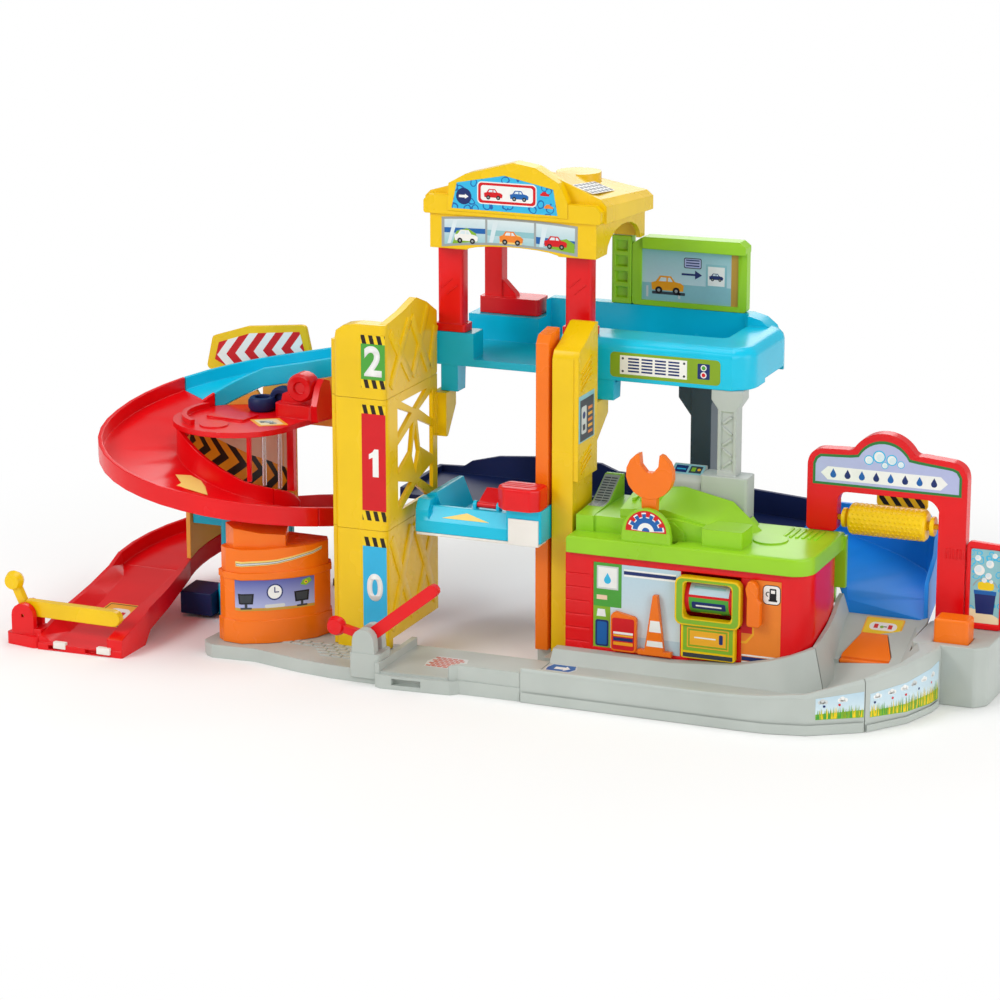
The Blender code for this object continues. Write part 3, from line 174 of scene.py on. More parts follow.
# The laminate over whatever colour is printed, ending in the output
def inkShader(tree, colourSocket):
    place = addNode(tree, "ShaderNodeTexCoord").outputs["Object"]
    mottle = addNode(tree, "ShaderNodeTexNoise", {"Scale": 1000 / vinyl["mottleSize"], "Detail": 2.0},
                     {"Vector": place})
    shade = addNode(tree, "ShaderNodeMapRange", {"To Min": vinyl["mottle"][0], "To Max": vinyl["mottle"][1]},
                    {"Value": mottle.outputs["Fac"]})
    grey = addNode(tree, "ShaderNodeCombineColor", None,
                   {0: shade.outputs["Result"], 1: shade.outputs["Result"], 2: shade.outputs["Result"]})
    tint = addNode(tree, "ShaderNodeMix", {"data_type": "RGBA", "blend_type": "MULTIPLY", 0: 1.0},
                   {6: colourSocket, 7: grey.outputs[0]})
    shader = addNode(tree, "ShaderNodeBsdfPrincipled",
                     {"IOR": vinyl["ior"], "Specular IOR Level": vinyl["specular"],
                      "Roughness": vinyl["roughness"]},
                     {"Base Color": tint.outputs[2]})
    addNode(tree, "ShaderNodeOutputMaterial", None, {"Surface": shader.outputs["BSDF"]})


inkColours = {
    "white": "#F3F3EF", "paleGrey": "#D3D6D4", "silver": "#9FA6A6", "black": "#16161A",
    "darkGrey": "#3A3F45", "slate": "#3A444F", "red": "#D5161E", "brick": "#C25A44",
    "yellow": "#F3D01C", "straw": "#F6D676", "amber": "#F4B02A", "gold": "#F7A41C",
    "orange": "#F0862C", "ochre": "#C6993C", "coffee": "#2A1A12", "peach": "#F6D3B4",
    "cream": "#F1E2B8", "green": "#4DA43C", "leaf": "#84B62C", "olive": "#88AA22",
    "darkGreen": "#2E7D3C", "sky": "#35B9E6", "paleBlue": "#BBD6E4", "ice": "#DCEBF0",
    "blue": "#1C63AE", "navy": "#1C2F6C", "teal": "#8FC4CC", "lavender": "#B6BDE3",
    "violet": "#5B62A8",
}
inks = {}


def ink(name):
    if name not in inks:
        material, tree = emptyMaterial("printed ink " + name)
        hexValue = inkColours[name]
        place = addNode(tree, "ShaderNodeTexCoord").outputs["Object"]
        screen = addNode(tree, "ShaderNodeTexNoise", {"Scale": 1000 / vinyl["inkSize"], "Detail": 1.0},
                         {"Vector": place})
        thin, full = [linearColour(shaded(hexValue, shade)) for shade in vinyl["inkShades"]]
        colour = addNode(tree, "ShaderNodeMix", {"data_type": "RGBA", 6: thin, 7: full},
                         {"Factor": screen.outputs["Fac"]})
        inkShader(tree, colour.outputs[2])
        inks[name] = material
    return inks[name]


# Label coordinates in mm, across and up, from the piece's own print map
def labelPlace(tree):
    chart = addNode(tree, "ShaderNodeUVMap", {"uv_map": "print"})
    split = addNode(tree, "ShaderNodeSeparateXYZ", None, {"Vector": chart.outputs["UV"]})
    return [addNode(tree, "ShaderNodeMath", {"operation": "MULTIPLY", 1: vinyl["chartUnit"]},
                    {0: split.outputs[axis]}).outputs[0] for axis in ("X", "Y")]


# Slanted stripes, or chevrons folded at the middle height when that is given, which may rise and bend
def stripePrint(name, light, dark, period, lean, middle=None, rise=0.0, bend=0.0, start=0.0, share=0.5):
    material, tree = emptyMaterial(name)
    across, up = labelPlace(tree)
    height = up
    if middle is not None:
        steep = addNode(tree, "ShaderNodeMath", {"operation": "MULTIPLY_ADD", 1: -bend, 2: -rise},
                        {0: across})
        line = addNode(tree, "ShaderNodeMath", {"operation": "MULTIPLY_ADD", 2: -middle},
                       {0: across, 1: steep.outputs[0]})
        level = addNode(tree, "ShaderNodeMath", {"operation": "ADD"}, {0: up, 1: line.outputs[0]})
        height = addNode(tree, "ShaderNodeMath", {"operation": "ABSOLUTE"},
                         {0: level.outputs[0]}).outputs[0]
    shift = addNode(tree, "ShaderNodeMath", {"operation": "MULTIPLY_ADD", 1: lean, 2: start},
                    {0: height})
    total = addNode(tree, "ShaderNodeMath", {"operation": "ADD"}, {0: across, 1: shift.outputs[0]})
    turns = addNode(tree, "ShaderNodeMath", {"operation": "DIVIDE", 1: period}, {0: total.outputs[0]})
    part = addNode(tree, "ShaderNodeMath", {"operation": "FRACT"}, {0: turns.outputs[0]})
    picked = addNode(tree, "ShaderNodeMath", {"operation": "LESS_THAN", 1: share}, {0: part.outputs[0]})
    colour = addNode(tree, "ShaderNodeMix", {"data_type": "RGBA", 6: linearColour(inkColours[light]),
                                             7: linearColour(inkColours[dark])},
                     {"Factor": picked.outputs[0]})
    inkShader(tree, colour.outputs[2])
    return material


# Small loose curls in a darker tone on a plain ground: rings a share of a cell wide, pulled out of round
doodle = {"bendSize": 11.0, "bend": 0.006, "ring": 0.36, "halfWidth": 0.055}


def doodlePrint(name, ground, line, cell):
    material, tree = emptyMaterial(name)
    place = addNode(tree, "ShaderNodeTexCoord").outputs["Object"]
    bend = addNode(tree, "ShaderNodeTexNoise", {"Scale": 1000 / doodle["bendSize"]}, {"Vector": place})
    pulled = addNode(tree, "ShaderNodeVectorMath", {"operation": "MULTIPLY_ADD", 1: (doodle["bend"],) * 3},
                     {0: bend.outputs["Color"], 2: place})
    cells = addNode(tree, "ShaderNodeTexVoronoi", {"Scale": 1000 / cell}, {"Vector": pulled.outputs[0]})
    ring = addNode(tree, "ShaderNodeMath", {"operation": "SUBTRACT", 1: doodle["ring"]},
                   {0: cells.outputs["Distance"]})
    width = addNode(tree, "ShaderNodeMath", {"operation": "ABSOLUTE"}, {0: ring.outputs[0]})
    picked = addNode(tree, "ShaderNodeMath", {"operation": "LESS_THAN", 1: doodle["halfWidth"]},
                     {0: width.outputs[0]})
    colour = addNode(tree, "ShaderNodeMix", {"data_type": "RGBA", 6: linearColour(inkColours[ground]),
                                             7: linearColour(inkColours[line])},
                     {"Factor": picked.outputs[0]})
    inkShader(tree, colour.outputs[2])
    return material


# A plain sky that pales from the top down
def skyPrint(name, low, high, bottom, top):
    material, tree = emptyMaterial(name)
    up = labelPlace(tree)[1]
    share = addNode(tree, "ShaderNodeMapRange", {"From Min": bottom, "From Max": top}, {"Value": up})
    colour = addNode(tree, "ShaderNodeMix", {"data_type": "RGBA", 6: linearColour(inkColours[low]),
                                             7: linearColour(inkColours[high])},
                     {"Factor": share.outputs["Result"]})
    inkShader(tree, colour.outputs[2])
    return material


plastics = {slot: mouldedPlastic("moulded ABS " + slot.replace("_", " "), *look)
            for slot, look in plasticLooks.items()}
plastics["clear"] = clearStyrene("clear polystyrene")
print("plastics made:", len(plastics))


# Shapes in label millimetres

def rectangle(u0, v0, u1, v1):
    return [(u0, v0), (u1, v0), (u1, v1), (u0, v1)]


def arcPoints(u, v, radius, start, end, steps):
    angles = [math.radians(start + (end - start) * step / steps) for step in range(steps + 1)]
    return [(u + radius * math.cos(angle), v + radius * math.sin(angle)) for angle in angles]


def disc(u, v, radius, steps=24):
    return arcPoints(u, v, radius, 0, 360, steps)[:-1]


def softRectangle(u0, v0, u1, v1, radius):
    return (arcPoints(u1 - radius, v1 - radius, radius, 0, 90, 5)
            + arcPoints(u0 + radius, v1 - radius, radius, 90, 180, 5)
            + arcPoints(u0 + radius, v0 + radius, radius, 180, 270, 5)
            + arcPoints(u1 - radius, v0 + radius, radius, 270, 360, 5))


def band(u, v, outer, inner, start, end, steps=16):
    return arcPoints(u, v, outer, start, end, steps) + arcPoints(u, v, inner, end, start, steps)


def drop(u, v, size):
    return [(u, v + size * 1.5)] + arcPoints(u, v, size * 0.72, 25, -205, 12)


def arrowShape(u, v, length, shaft, head):
    tip = u + length
    neck = tip - head
    return [(u, v - shaft), (neck, v - shaft), (neck, v - head * 0.62), (tip, v), (neck, v + head * 0.62),
            (neck, v + shaft), (u, v + shaft)]


def gearShape(u, v, outer, inner, teeth, start, end):
    points = []
    step = (end - start) / (teeth * 2)
    for index in range(teeth * 2):
        radius = outer if index % 2 == 0 else outer * 0.78
        low = start + step * index
        points += arcPoints(u, v, radius, low, low + step, 2)
    return points + arcPoints(u, v, inner, end, start, 14)


def moved(points, u, v, scale):
    return [(u + a * scale, v + b * scale) for a, b in points]


# A small car seen from the side, 21 mm long before it is scaled
car = {
    "body": [(-10, -3), (10, -3), (10.5, 0.5), (8.5, 2), (4.8, 2.6), (2.2, 6), (-5, 6), (-7.5, 2.4),
             (-10.5, 1.4)],
    "windows": ([(-5.6, 2.6), (-4.2, 5), (-0.8, 5), (-0.8, 2.6)],
                [(0.2, 2.6), (0.2, 5), (1.6, 5), (3.4, 2.6)]),
    "axles": (-5.6, 5.6), "axleHeight": -3, "tyre": 2.3, "hub": 1.0,
}


def carPicture(u, v, scale, paint, level):
    layers = [(paint, moved(car["body"], u, v, scale), level)]
    layers += [("ice", moved(window, u, v, scale), level + 1) for window in car["windows"]]
    for paint, radius, steps, above in (("black", car["tyre"], 14, 1), ("silver", car["hub"], 10, 2)):
        layers += [(paint, disc(u + axle * scale, v + car["axleHeight"] * scale, radius * scale, steps),
                    level + above) for axle in car["axles"]]
    return layers


def cloudPicture(u, v, scale, paint, level):
    return [(paint, disc(u - 4 * scale, v, 2.6 * scale, 14), level),
            (paint, disc(u, v + 1.2 * scale, 3.6 * scale, 16), level),
            (paint, disc(u + 4.4 * scale, v, 2.8 * scale, 14), level),
            (paint, rectangle(u - 4 * scale, v - 2.6 * scale, u + 4.4 * scale, v), level)]


# Label building: every shape is a thin plate, and a higher level lies on the ones below it

labelThickness = {"sunk": -0.25, "base": 0.22, "step": 0.05}


# Thickens faces by a vector and gives the vertices that moved
def thickened(bm, faces, way):
    grown = bmesh.ops.extrude_face_region(bm, geom=faces)["geom"]
    raised = [item for item in grown if isinstance(item, bmesh.types.BMVert)]
    bmesh.ops.translate(bm, vec=way, verts=raised)
    return raised


def roundEdges(bm, edges, radius, segments=2, clamp=False):
    bmesh.ops.bevel(bm, geom=edges, offset=radius * mm, segments=segments, profile=0.5, affect="EDGES",
                    clamp_overlap=clamp, material=-1)


def pathLength(path):
    return sum((Vector(b) - Vector(a)).length for a, b in zip(path, path[1:]))


def labelMesh(layers):
    bm = bmesh.new()
    used = []
    for paint, outline, level in layers:
        material = ink(paint) if isinstance(paint, str) else paint
        if material not in used:
            used.append(material)
        high = labelThickness["base"] + labelThickness["step"] * level
        low = high - labelThickness["step"] * 1.5 if level else labelThickness["sunk"]
        face = bm.faces.new([bm.verts.new((u, v, low)) for u, v in outline])
        for vert in thickened(bm, [face], (0, 0, high - low)):
            for linked in vert.link_faces:
                linked.material_index = used.index(material)
        face.material_index = used.index(material)
    chart = bm.loops.layers.uv.new("print")
    for face in bm.faces:
        for loop in face.loops:
            loop[chart].uv = loop.vert.co.xy / vinyl["chartUnit"]
    return bm, used


# The mesh as a piece that moves and is filed with one of the solids
def finishedPiece(name, bm, materials, nodeName, smoothAngle=None):
    bmesh.ops.recalc_face_normals(bm, faces=bm.faces)
    mesh = bpy.data.meshes.new(name)
    bm.to_mesh(mesh)
    bm.free()
    for material in materials:
        mesh.materials.append(material)
    if smoothAngle:
        mesh.shade_smooth()
        mesh.set_sharp_from_angle(angle=math.radians(smoothAngle))
    piece = bpy.data.objects.new(name, mesh)
    bpy.context.scene.collection.objects.link(piece)
    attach(piece, bodyOf[nodeName])
    return piece


# From label millimetres to the model, for a flat face
def onPlane(origin, across, up):
    sideways = Vector(across).normalized()
    upward = (Vector(up) - Vector(up).dot(sideways) * sideways).normalized()
    turn = Matrix((sideways, upward, sideways.cross(upward))).transposed().to_4x4()
    return Matrix.Translation(atGrid(*origin)) @ turn @ Matrix.Scale(mm, 4)


def flatLabel(name, nodeName, origin, across, up, layers):
    bm, used = labelMesh(layers)
    bmesh.ops.transform(bm, matrix=onPlane(origin, across, up), verts=bm.verts)
    return finishedPiece(name, bm, used, nodeName)


# A label on a face that looks to the front, in grid x and z
def frontLabel(name, nodeName, y, layers):
    return flatLabel(name, nodeName, (0, y, 0), (1, 0, 0), (0, 0, 1), layers)


# A label that follows a path of grid points and faces the way that path cross upward points
def bentLabel(name, nodeName, path, upward, layers):
    bm, used = labelMesh(layers)
    points = [Vector(point) for point in path]
    lengths = [0.0]
    for before, after in zip(points, points[1:]):
        lengths.append(lengths[-1] + (after - before).length)
    for length in lengths[1:-1]:
        parts = list(bm.verts) + list(bm.edges) + list(bm.faces)
        bmesh.ops.bisect_plane(bm, geom=parts, dist=0.0001, plane_co=(length, 0, 0), plane_no=(1, 0, 0))
    upward = Vector(upward).normalized()
    ways = [(after - before).normalized() for before, after in zip(points, points[1:])]
    sides = [way.cross(upward).normalized() for way in ways]
    knots = [sides[0]] + [(a + b).normalized() / max(0.3, (a + b).normalized().dot(a))
                          for a, b in zip(sides, sides[1:])] + [sides[-1]]
    for vert in bm.verts:
        u, v, height = vert.co
        index = 0
        while index < len(ways) - 1 and u > lengths[index + 1]:
            index += 1
        share = (u - lengths[index]) / (lengths[index + 1] - lengths[index])
        foot = points[index].lerp(points[index + 1], share)
        out = knots[index].lerp(knots[index + 1], min(1.0, max(0.0, share)))
        vert.co = atGrid(*(foot + upward * v + out * height))
    return finishedPiece(name, bm, used, nodeName, 30)


# Small relief moulded in one with a part, of the part's own plastic unless another is named
def reliefPiece(name, nodeName, bm, slot=None, smoothAngle=35):
    return finishedPiece(name, bm, [plastics[slot or slotOf[nodeName]]], nodeName, smoothAngle)


# A block between two grid corners, added to the mesh
def gridBlock(bm, x0, x1, y0, y1, z0, z1):
    low = atGrid(x0, y0, z0)
    high = atGrid(x1, y1, z1)
    size = high - low
    matrix = Matrix.Translation((low + high) / 2) @ Matrix.Diagonal((*size, 1.0))
    return bmesh.ops.create_cube(bm, size=1.0, matrix=matrix)["verts"]


# Moulded parts: the solid with its facets smoothed and its edges rounded, all in mm and degrees

moulding = {
    "edgeRadii": {"default": 0.9, "wash_pedestal": 2.4, "base_left": 0.7, "base_road": 1.6, "wash_ramp": 1.2,
                  "station_roof": 1.2, "cabin_roof": 1.8, "tower_top": 2.6, "tower_bottom": 1.2,
                  "upper_deck": 1.4, "wash_gate": 2.0, "side_sign": 1.4, "deck_sign": 1.8,
                  "chevron_sign": 1.3, "lift_handle": 1.4, "lift_tray": 1.1, "wrench": 1.5,
                  "push_block": 1.0, "wash_flap": 0.7, "wash_roller": 0.6, "clear_rod_left": 0.3,
                  "clear_rod_right": 0.3, "cone_relief": 1.2, "pump_nozzle": 1.6, "pump_frame": 0.8,
                  "hazard_sign": 0.7, "rail_strip": 0.6, "platform": 0.8},
    "outlineRadii": {"default": 0.0, "wash_gate": 5.0, "deck_sign": 4.5, "chevron_sign": 4.0,
                     "cabin_roof": 8.5, "tower_top": 9.0},
    "outlineAxes": {"default": 1, "tower_top": 0},          # the axis that an outline runs through
    "widestCorners": {"default": 180.0, "tower_top": 65.0},  # sharper corners of an outline stay
    "bluntest": 14.0,                                       # and so do blunter ones
    "creaseAngles": {"default": 34.0, "curve_track": 60.0},  # from which a crease is an edge
    "creaseMargin": 6.0,
    "flatAngle": 0.3,       # faces closer than this are one face
    "weld": 0.002,
    "spareArea": 1.004,     # a rounded copy with more surface than this, or less volume, has folded
    "leastVolume": 0.93,
}


def mouldingValue(key, nodeName):
    return moulding[key].get(nodeName, moulding[key]["default"])


# Area of the triangles that are shown, which is too large where a face is folded
def drawnArea(bm):
    total = 0.0
    for corner in bm.calc_loop_triangles():
        a, b, c = [loop.vert.co for loop in corner]
        total += (b - a).cross(c - a).length / 2
    return total


# A copy of the solid with its outline curved and its edges rounded, or nothing where that folds it
def softened(nodeName, outlineRadius, radius):
    bm = bmesh.new()
    bm.from_mesh(frame["nodes"][nodeName].data)
    bmesh.ops.remove_doubles(bm, verts=bm.verts, dist=moulding["weld"] * mm)
    plainArea = drawnArea(bm)
    plainVolume = bm.calc_volume()
    if radius:
        bmesh.ops.dissolve_limit(bm, angle_limit=math.radians(moulding["flatAngle"]), verts=bm.verts,
                                 edges=bm.edges)
        bmesh.ops.connect_verts_concave(bm, faces=bm.faces)
    if outlineRadius:
        axis = mouldingValue("outlineAxes", nodeName)
        bluntest = math.radians(moulding["bluntest"])
        widest = math.radians(mouldingValue("widestCorners", nodeName))
        corners = [edge for edge in bm.edges if len(edge.link_faces) == 2
                   and abs((edge.verts[0].co - edge.verts[1].co).normalized()[axis]) > 0.999
                   and bluntest < edge.calc_face_angle() < widest]
        roundEdges(bm, corners, outlineRadius, 4, clamp=True)
    if radius:
        crease = math.radians(mouldingValue("creaseAngles", nodeName))
        sharp = [edge for edge in bm.edges if len(edge.link_faces) == 2 and edge.calc_face_angle() > crease]
        roundEdges(bm, sharp, radius, clamp=True)
    bmesh.ops.remove_doubles(bm, verts=bm.verts, dist=moulding["weld"] / 2 * mm)
    if (drawnArea(bm) > plainArea * moulding["spareArea"]
            or bm.calc_volume() < plainVolume * moulding["leastVolume"]):
        bm.free()
        return None
    return bm


# The roundest copy that doesn't fold takes the solid's place
def dressed(nodeName):
    radius = mouldingValue("edgeRadii", nodeName)
    curve = mouldingValue("outlineRadii", nodeName)
    for outlineShare, share in ((1, 1), (1, 0.5), (0, 1), (0, 0.5), (0, 0.25), (0, 0)):
        bm = softened(nodeName, curve * outlineShare, radius * share)
        if bm:
            break
    if share < 1 or (curve and not outlineShare):
        print(nodeName, "softened by", share, "outline by", outlineShare)
    mesh = bpy.data.meshes.new(nodeName + "_moulding")
    bm.to_mesh(mesh)
    bm.free()
    mesh.materials.clear()
    mesh.materials.append(plastics[slotOf[nodeName]])
    for polygon in mesh.polygons:
        polygon.material_index = 0
    mesh.shade_smooth()
    crease = mouldingValue("creaseAngles", nodeName) + moulding["creaseMargin"]
    mesh.set_sharp_from_angle(angle=math.radians(crease))
    piece = bpy.data.objects.new(nodeName + "_moulding", mesh)
    bpy.context.scene.collection.objects.link(piece)
    weigh = piece.modifiers.new("even faces", "WEIGHTED_NORMAL")
    weigh.weight = 60
    weigh.keep_sharp = True
    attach(piece, bodyOf[nodeName])
    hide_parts(nodeName)
    return piece


for nodeName in sorted(frame["nodes"]):
    dressed(nodeName)
print("moulded parts dressed")


# Cabin roof

cabin = {
    "gableFront": 68.0, "wallFront": 72.0,
    "sign": [(-73, 386.6), (-68, 409), (-24, 417.5), (21, 408.5), (25, 386.2)],
    "windowLeft": -84.0, "windowRight": 42.0, "windowFoot": 351.2, "windowTop": 380.0,
    "footRise": 4.8, "topDrop": 2.6, "frameWidth": 2.0,     # the window's edges are bowed
    "panes": ((-81.4, -43.2), (-41.2, 2.0), (4.0, 39.6)),
    "slopeLeft": 8, "slopeRight": 60, "slopeFront": 78, "slopeBack": 195,
    "slopeHeights": ((422, 401), (400, 391)),               # left and right, in front and at the back
    "vent": (41.0, 112.0), "ventSize": (20, 60), "ventCells": (4, 6), "ventBars": (1.4, 2.6),
    "postRibs": (("cabin_post_left", -82.6, 313.0), ("cabin_post_right", 37.0, 322.0)),
    "postFace": (85.4, 86.6), "ribLength": 14, "ribWidth": 1.2, "ribShift": 2.6, "ribTilt": -40,
}


# Top of the right roof slope, which falls to the right and to the back
def roofHeight(x, y):
    right = (x - cabin["slopeLeft"]) / (cabin["slopeRight"] - cabin["slopeLeft"])
    back = (y - cabin["slopeFront"]) / (cabin["slopeBack"] - cabin["slopeFront"])
    front, rear = [left + (end - left) * right for left, end in cabin["slopeHeights"]]
    return front + (rear - front) * back


def windowOutline(x0, x1, inset):
    middle = (cabin["windowLeft"] + cabin["windowRight"]) / 2
    half = (cabin["windowRight"] - cabin["windowLeft"]) / 2
    steps = 12
    places = [x0 + (x1 - x0) * step / steps for step in range(steps + 1)]
    bows = [((x - middle) / half) ** 2 for x in places]
    feet = [(x, cabin["windowFoot"] + inset + cabin["footRise"] * (1 - bow)) for x, bow in zip(places, bows)]
    tops = [(x, cabin["windowTop"] - inset - cabin["topDrop"] * bow) for x, bow in zip(places, bows)]
    return feet + tops[::-1]


def buildCabin():
    # Sign over the window: two cars on a plain plate, an arrow and two more cars
    layers = [(doodlePrint("roof sign print", "sky", "blue", 9.0), cabin["sign"], 0),
              ("white", softRectangle(-49, 392.0, 6, 411.5, 4), 1),
              ("red", softRectangle(-48, 393, 5, 410.5, 3.2), 2),
              ("white", softRectangle(-45.6, 395.2, 2.6, 408.4, 2.4), 3)]
    layers += carPicture(-34, 400.5, 0.82, "red", 4) + carPicture(-10, 400.5, 0.82, "blue", 4)
    layers += [("navy", disc(-61.5, 397.5, 7.2), 1), ("white", arrowShape(-66, 397.5, 9, 1.1, 3.4), 2),
               ("red", moved(car["body"], 13.4, 403.6, 0.4), 1),
               ("orange", moved(car["body"], 17, 393, 0.4), 1)]
    frontLabel("roof_sign_label", "cabin_roof", cabin["gableFront"], layers)

    # Three panes: far shore, hills, a light streak and a car in each
    glass = skyPrint("window print", "teal", "ice", 352, 378)
    layers = [("silver", windowOutline(cabin["windowLeft"], cabin["windowRight"], 0.0), 0)]
    layers += [(glass, windowOutline(x0, x1, cabin["frameWidth"]), 1) for x0, x1 in cabin["panes"]]
    layers += [("blue", [(-81.4, 364), (-43.2, 365), (-43.2, 369.5), (-81.4, 368.5)], 2),
               ("leaf", [(-74, 354.6), (-65, 355.8), (-56, 357), (-50, 357.6), (-52, 365), (-60, 369),
                         (-70, 366)], 3),
               ("teal", [(-41.2, 364), (2, 364), (2, 369), (-41.2, 369)], 2),
               ("straw", [(-30, 357.8), (-9, 357.8), (-10, 365), (-18, 367.5), (-28, 365)], 3),
               ("blue", [(4, 360), (39.6, 358), (39.6, 364.5), (4, 366)], 2),
               ("leaf", [(14, 356.9), (26, 355.4), (39.4, 353.8), (39.4, 362), (32, 366), (20, 363)], 3),
               ("ice", [(-78.6, 354.6), (-75.6, 355), (-69, 375.4), (-73, 375.2)], 4),
               ("ice", [(-39.6, 358), (-36, 358), (-31, 377), (-35.5, 377)], 4),
               ("ice", [(7, 357.6), (10.6, 357.6), (15, 376.8), (10, 377)], 4)]
    layers += carPicture(-61, 361, 1.05, "white", 5) + carPicture(-19, 362.5, 1.05, "orange", 5)
    layers += carPicture(22, 361.5, 1.0, "red", 5)
    frontLabel("roof_window_label", "cabin_roof", cabin["wallFront"], layers)

    # Two slanting ribs moulded in the front of each red post
    half = cabin["ribLength"] / 2
    for nodeName, centre, height in cabin["postRibs"]:
        bm = bmesh.new()
        for shift in (-cabin["ribShift"], cabin["ribShift"]):
            x, z = centre + shift, height - shift
            verts = gridBlock(bm, x - half, x + half, *cabin["postFace"], z, z + cabin["ribWidth"])
            bmesh.ops.rotate(bm, verts=verts, cent=atGrid(x, cabin["postFace"][1] - 0.6, z),
                             matrix=Matrix.Rotation(math.radians(cabin["ribTilt"]), 3, "Y"))
        reliefPiece(nodeName + "_ribs", nodeName, bm)

    # Vent of dark cells on the right slope
    x, y = cabin["vent"]
    width, depth = cabin["ventSize"]
    columns, rows = cabin["ventCells"]
    gapX, gapY = cabin["ventBars"]
    layers = [("white", rectangle(-width / 2, -depth / 2, width / 2, depth / 2), 0)]
    for row in range(rows):
        for column in range(columns):
            left = -width / 2 + width / columns * column + gapX / 2
            low = -depth / 2 + depth / rows * row + gapY / 2
            cell = rectangle(left, low, left + width / columns - gapX, low + depth / rows - gapY)
            layers.append(("slate", cell, 1))
    slopeX = roofHeight(x + 1, y) - roofHeight(x, y)
    slopeY = roofHeight(x, y + 1) - roofHeight(x, y)
    flatLabel("roof_vent_label", "cabin_roof", (x, y, roofHeight(x, y)), (1, 0, slopeX), (0, 1, slopeY),
              layers)


buildCabin()


# Number tower

tower = {
    "front": -30.0, "left": -115.5, "right": -93.2,
    "panels": (("2", "green", 252.5, 283.5), ("1", "red", 137.0, 222.5), ("0", "sky", 33.0, 105.0)),
    "strips": ((283.5, 291.0), (245.0, 252.3), (222.5, 230.2), (128.2, 136.6), (105.2, 113.2), (23.0, 32.8)),
    # foot, height and width of each digit
    "digits": {"2": (255.3, 26.6, 16.4), "1": (167.2, 24.6, 9.0), "0": (56.2, 24.6, 15.0)},
    "digitSink": 0.15, "digitThickness": 0.2, "digitWeight": 0.034,
    "one": [(-1.0, 0), (4.5, 0), (4.5, 25), (0.6, 25), (-1.2, 22.2), (-4.5, 20.0),
            (-4.5, 15.6), (-1.0, 17.4)],
    "stripePeriod": 7.4, "stripeLean": 0.26, "stripeShare": 0.54, "stripeStart": 3.4,
    "flank": -93.4, "ribHeight": 2.6, "ribStep": 0.5, "ribEdge": 0.5,
    "topRibs": ((-19, 244, 22, 296), (24, 244, -19, 292), (26, 297, 62, 244), (62, 300, 28, 244),
                (66, 244, 78, 280)),
    "lowRibs": ((-20, 28, 24, 112), (26, 30, -20, 110), (30, 112, 76, 30), (76, 110, 32, 30)),
}


# A thin digit, from a type face or, for the 1, with its flag drawn
def digitMesh(label):
    bm = bmesh.new()
    if label == "1":
        bm.faces.new([bm.verts.new((u, v, 0)) for u, v in tower["one"]])
    else:
        writing = bpy.data.curves.new("number", "FONT")
        writing.body = label
        writing.offset = tower["digitWeight"]
        flat = bpy.data.objects.new("number", writing)
        bpy.context.scene.collection.objects.link(flat)
        bpy.context.view_layer.update()
        mesh = bpy.data.meshes.new_from_object(flat.evaluated_get(bpy.context.evaluated_depsgraph_get()))
        bpy.data.objects.remove(flat)
        bm.from_mesh(mesh)
        bpy.data.meshes.remove(mesh)
    thickened(bm, list(bm.faces), (0, 0, 0.1))
    return bm


# Bars on a face that looks to the right, each between two points in grid y and z
def ribRelief(name, nodeName, ribs, width):
    bm = bmesh.new()
    for index, (y0, z0, y1, z1) in enumerate(ribs):
        start = atGrid(tower["flank"], y0, z0)
        end = atGrid(tower["flank"], y1, z1)
        turn = Matrix.Rotation(math.atan2(end.z - start.z, end.y - start.y), 4, "X")
        proud = tower["ribHeight"] - tower["ribStep"] * (index % 2)  # crossing ribs never share a face
        size = Matrix.Diagonal((proud * mm, (end - start).length, width * mm, 1.0))
        middle = Matrix.Translation((start + end) / 2)
        bmesh.ops.create_cube(bm, size=1.0, matrix=middle @ turn @ size)
    roundEdges(bm, bm.edges, tower["ribEdge"])
    reliefPiece(name, nodeName, bm)


def buildTower():
    middle = (tower["left"] + tower["right"]) / 2
    for label, paint, low, high in tower["panels"]:
        outline = rectangle(tower["left"], low, tower["right"], high)
        frontLabel("tower_panel_" + label, "tower_bottom", tower["front"], [(paint, outline, 0)])
        bm = digitMesh(label)
        foot, tall, wide = tower["digits"][label]
        lows = [min(vert.co[axis] for vert in bm.verts) for axis in range(3)]
        highs = [max(vert.co[axis] for vert in bm.verts) for axis in range(3)]
        for vert in bm.verts:
            share = [(vert.co[axis] - lows[axis]) / (highs[axis] - lows[axis]) for axis in range(3)]
            vert.co = (middle + (share[0] - 0.5) * wide, foot + share[1] * tall,
                       tower["digitSink"] + share[2] * tower["digitThickness"])
        for face in bm.faces:
            face.material_index = 0
        bmesh.ops.transform(bm, matrix=onPlane((0, tower["front"], 0), (1, 0, 0), (0, 0, 1)), verts=bm.verts)
        finishedPiece("tower_number_" + label, bm, [ink("white")], "tower_bottom")
    hazard = stripePrint("hazard stripe print", "yellow", "coffee", tower["stripePeriod"],
                         tower["stripeLean"], share=tower["stripeShare"], start=tower["stripeStart"])
    layers = [(hazard, rectangle(tower["left"], low, tower["right"], high), 0)
              for low, high in tower["strips"]]
    frontLabel("tower_hazard_strips", "tower_bottom", tower["front"], layers)
    ribRelief("tower_top_ribs", "tower_top", tower["topRibs"], 9.0)
    ribRelief("tower_low_ribs", "tower_bottom", tower["lowRibs"], 10.0)


buildTower()
print("cabin and tower labelled")


# Spiral road, its core and its signs

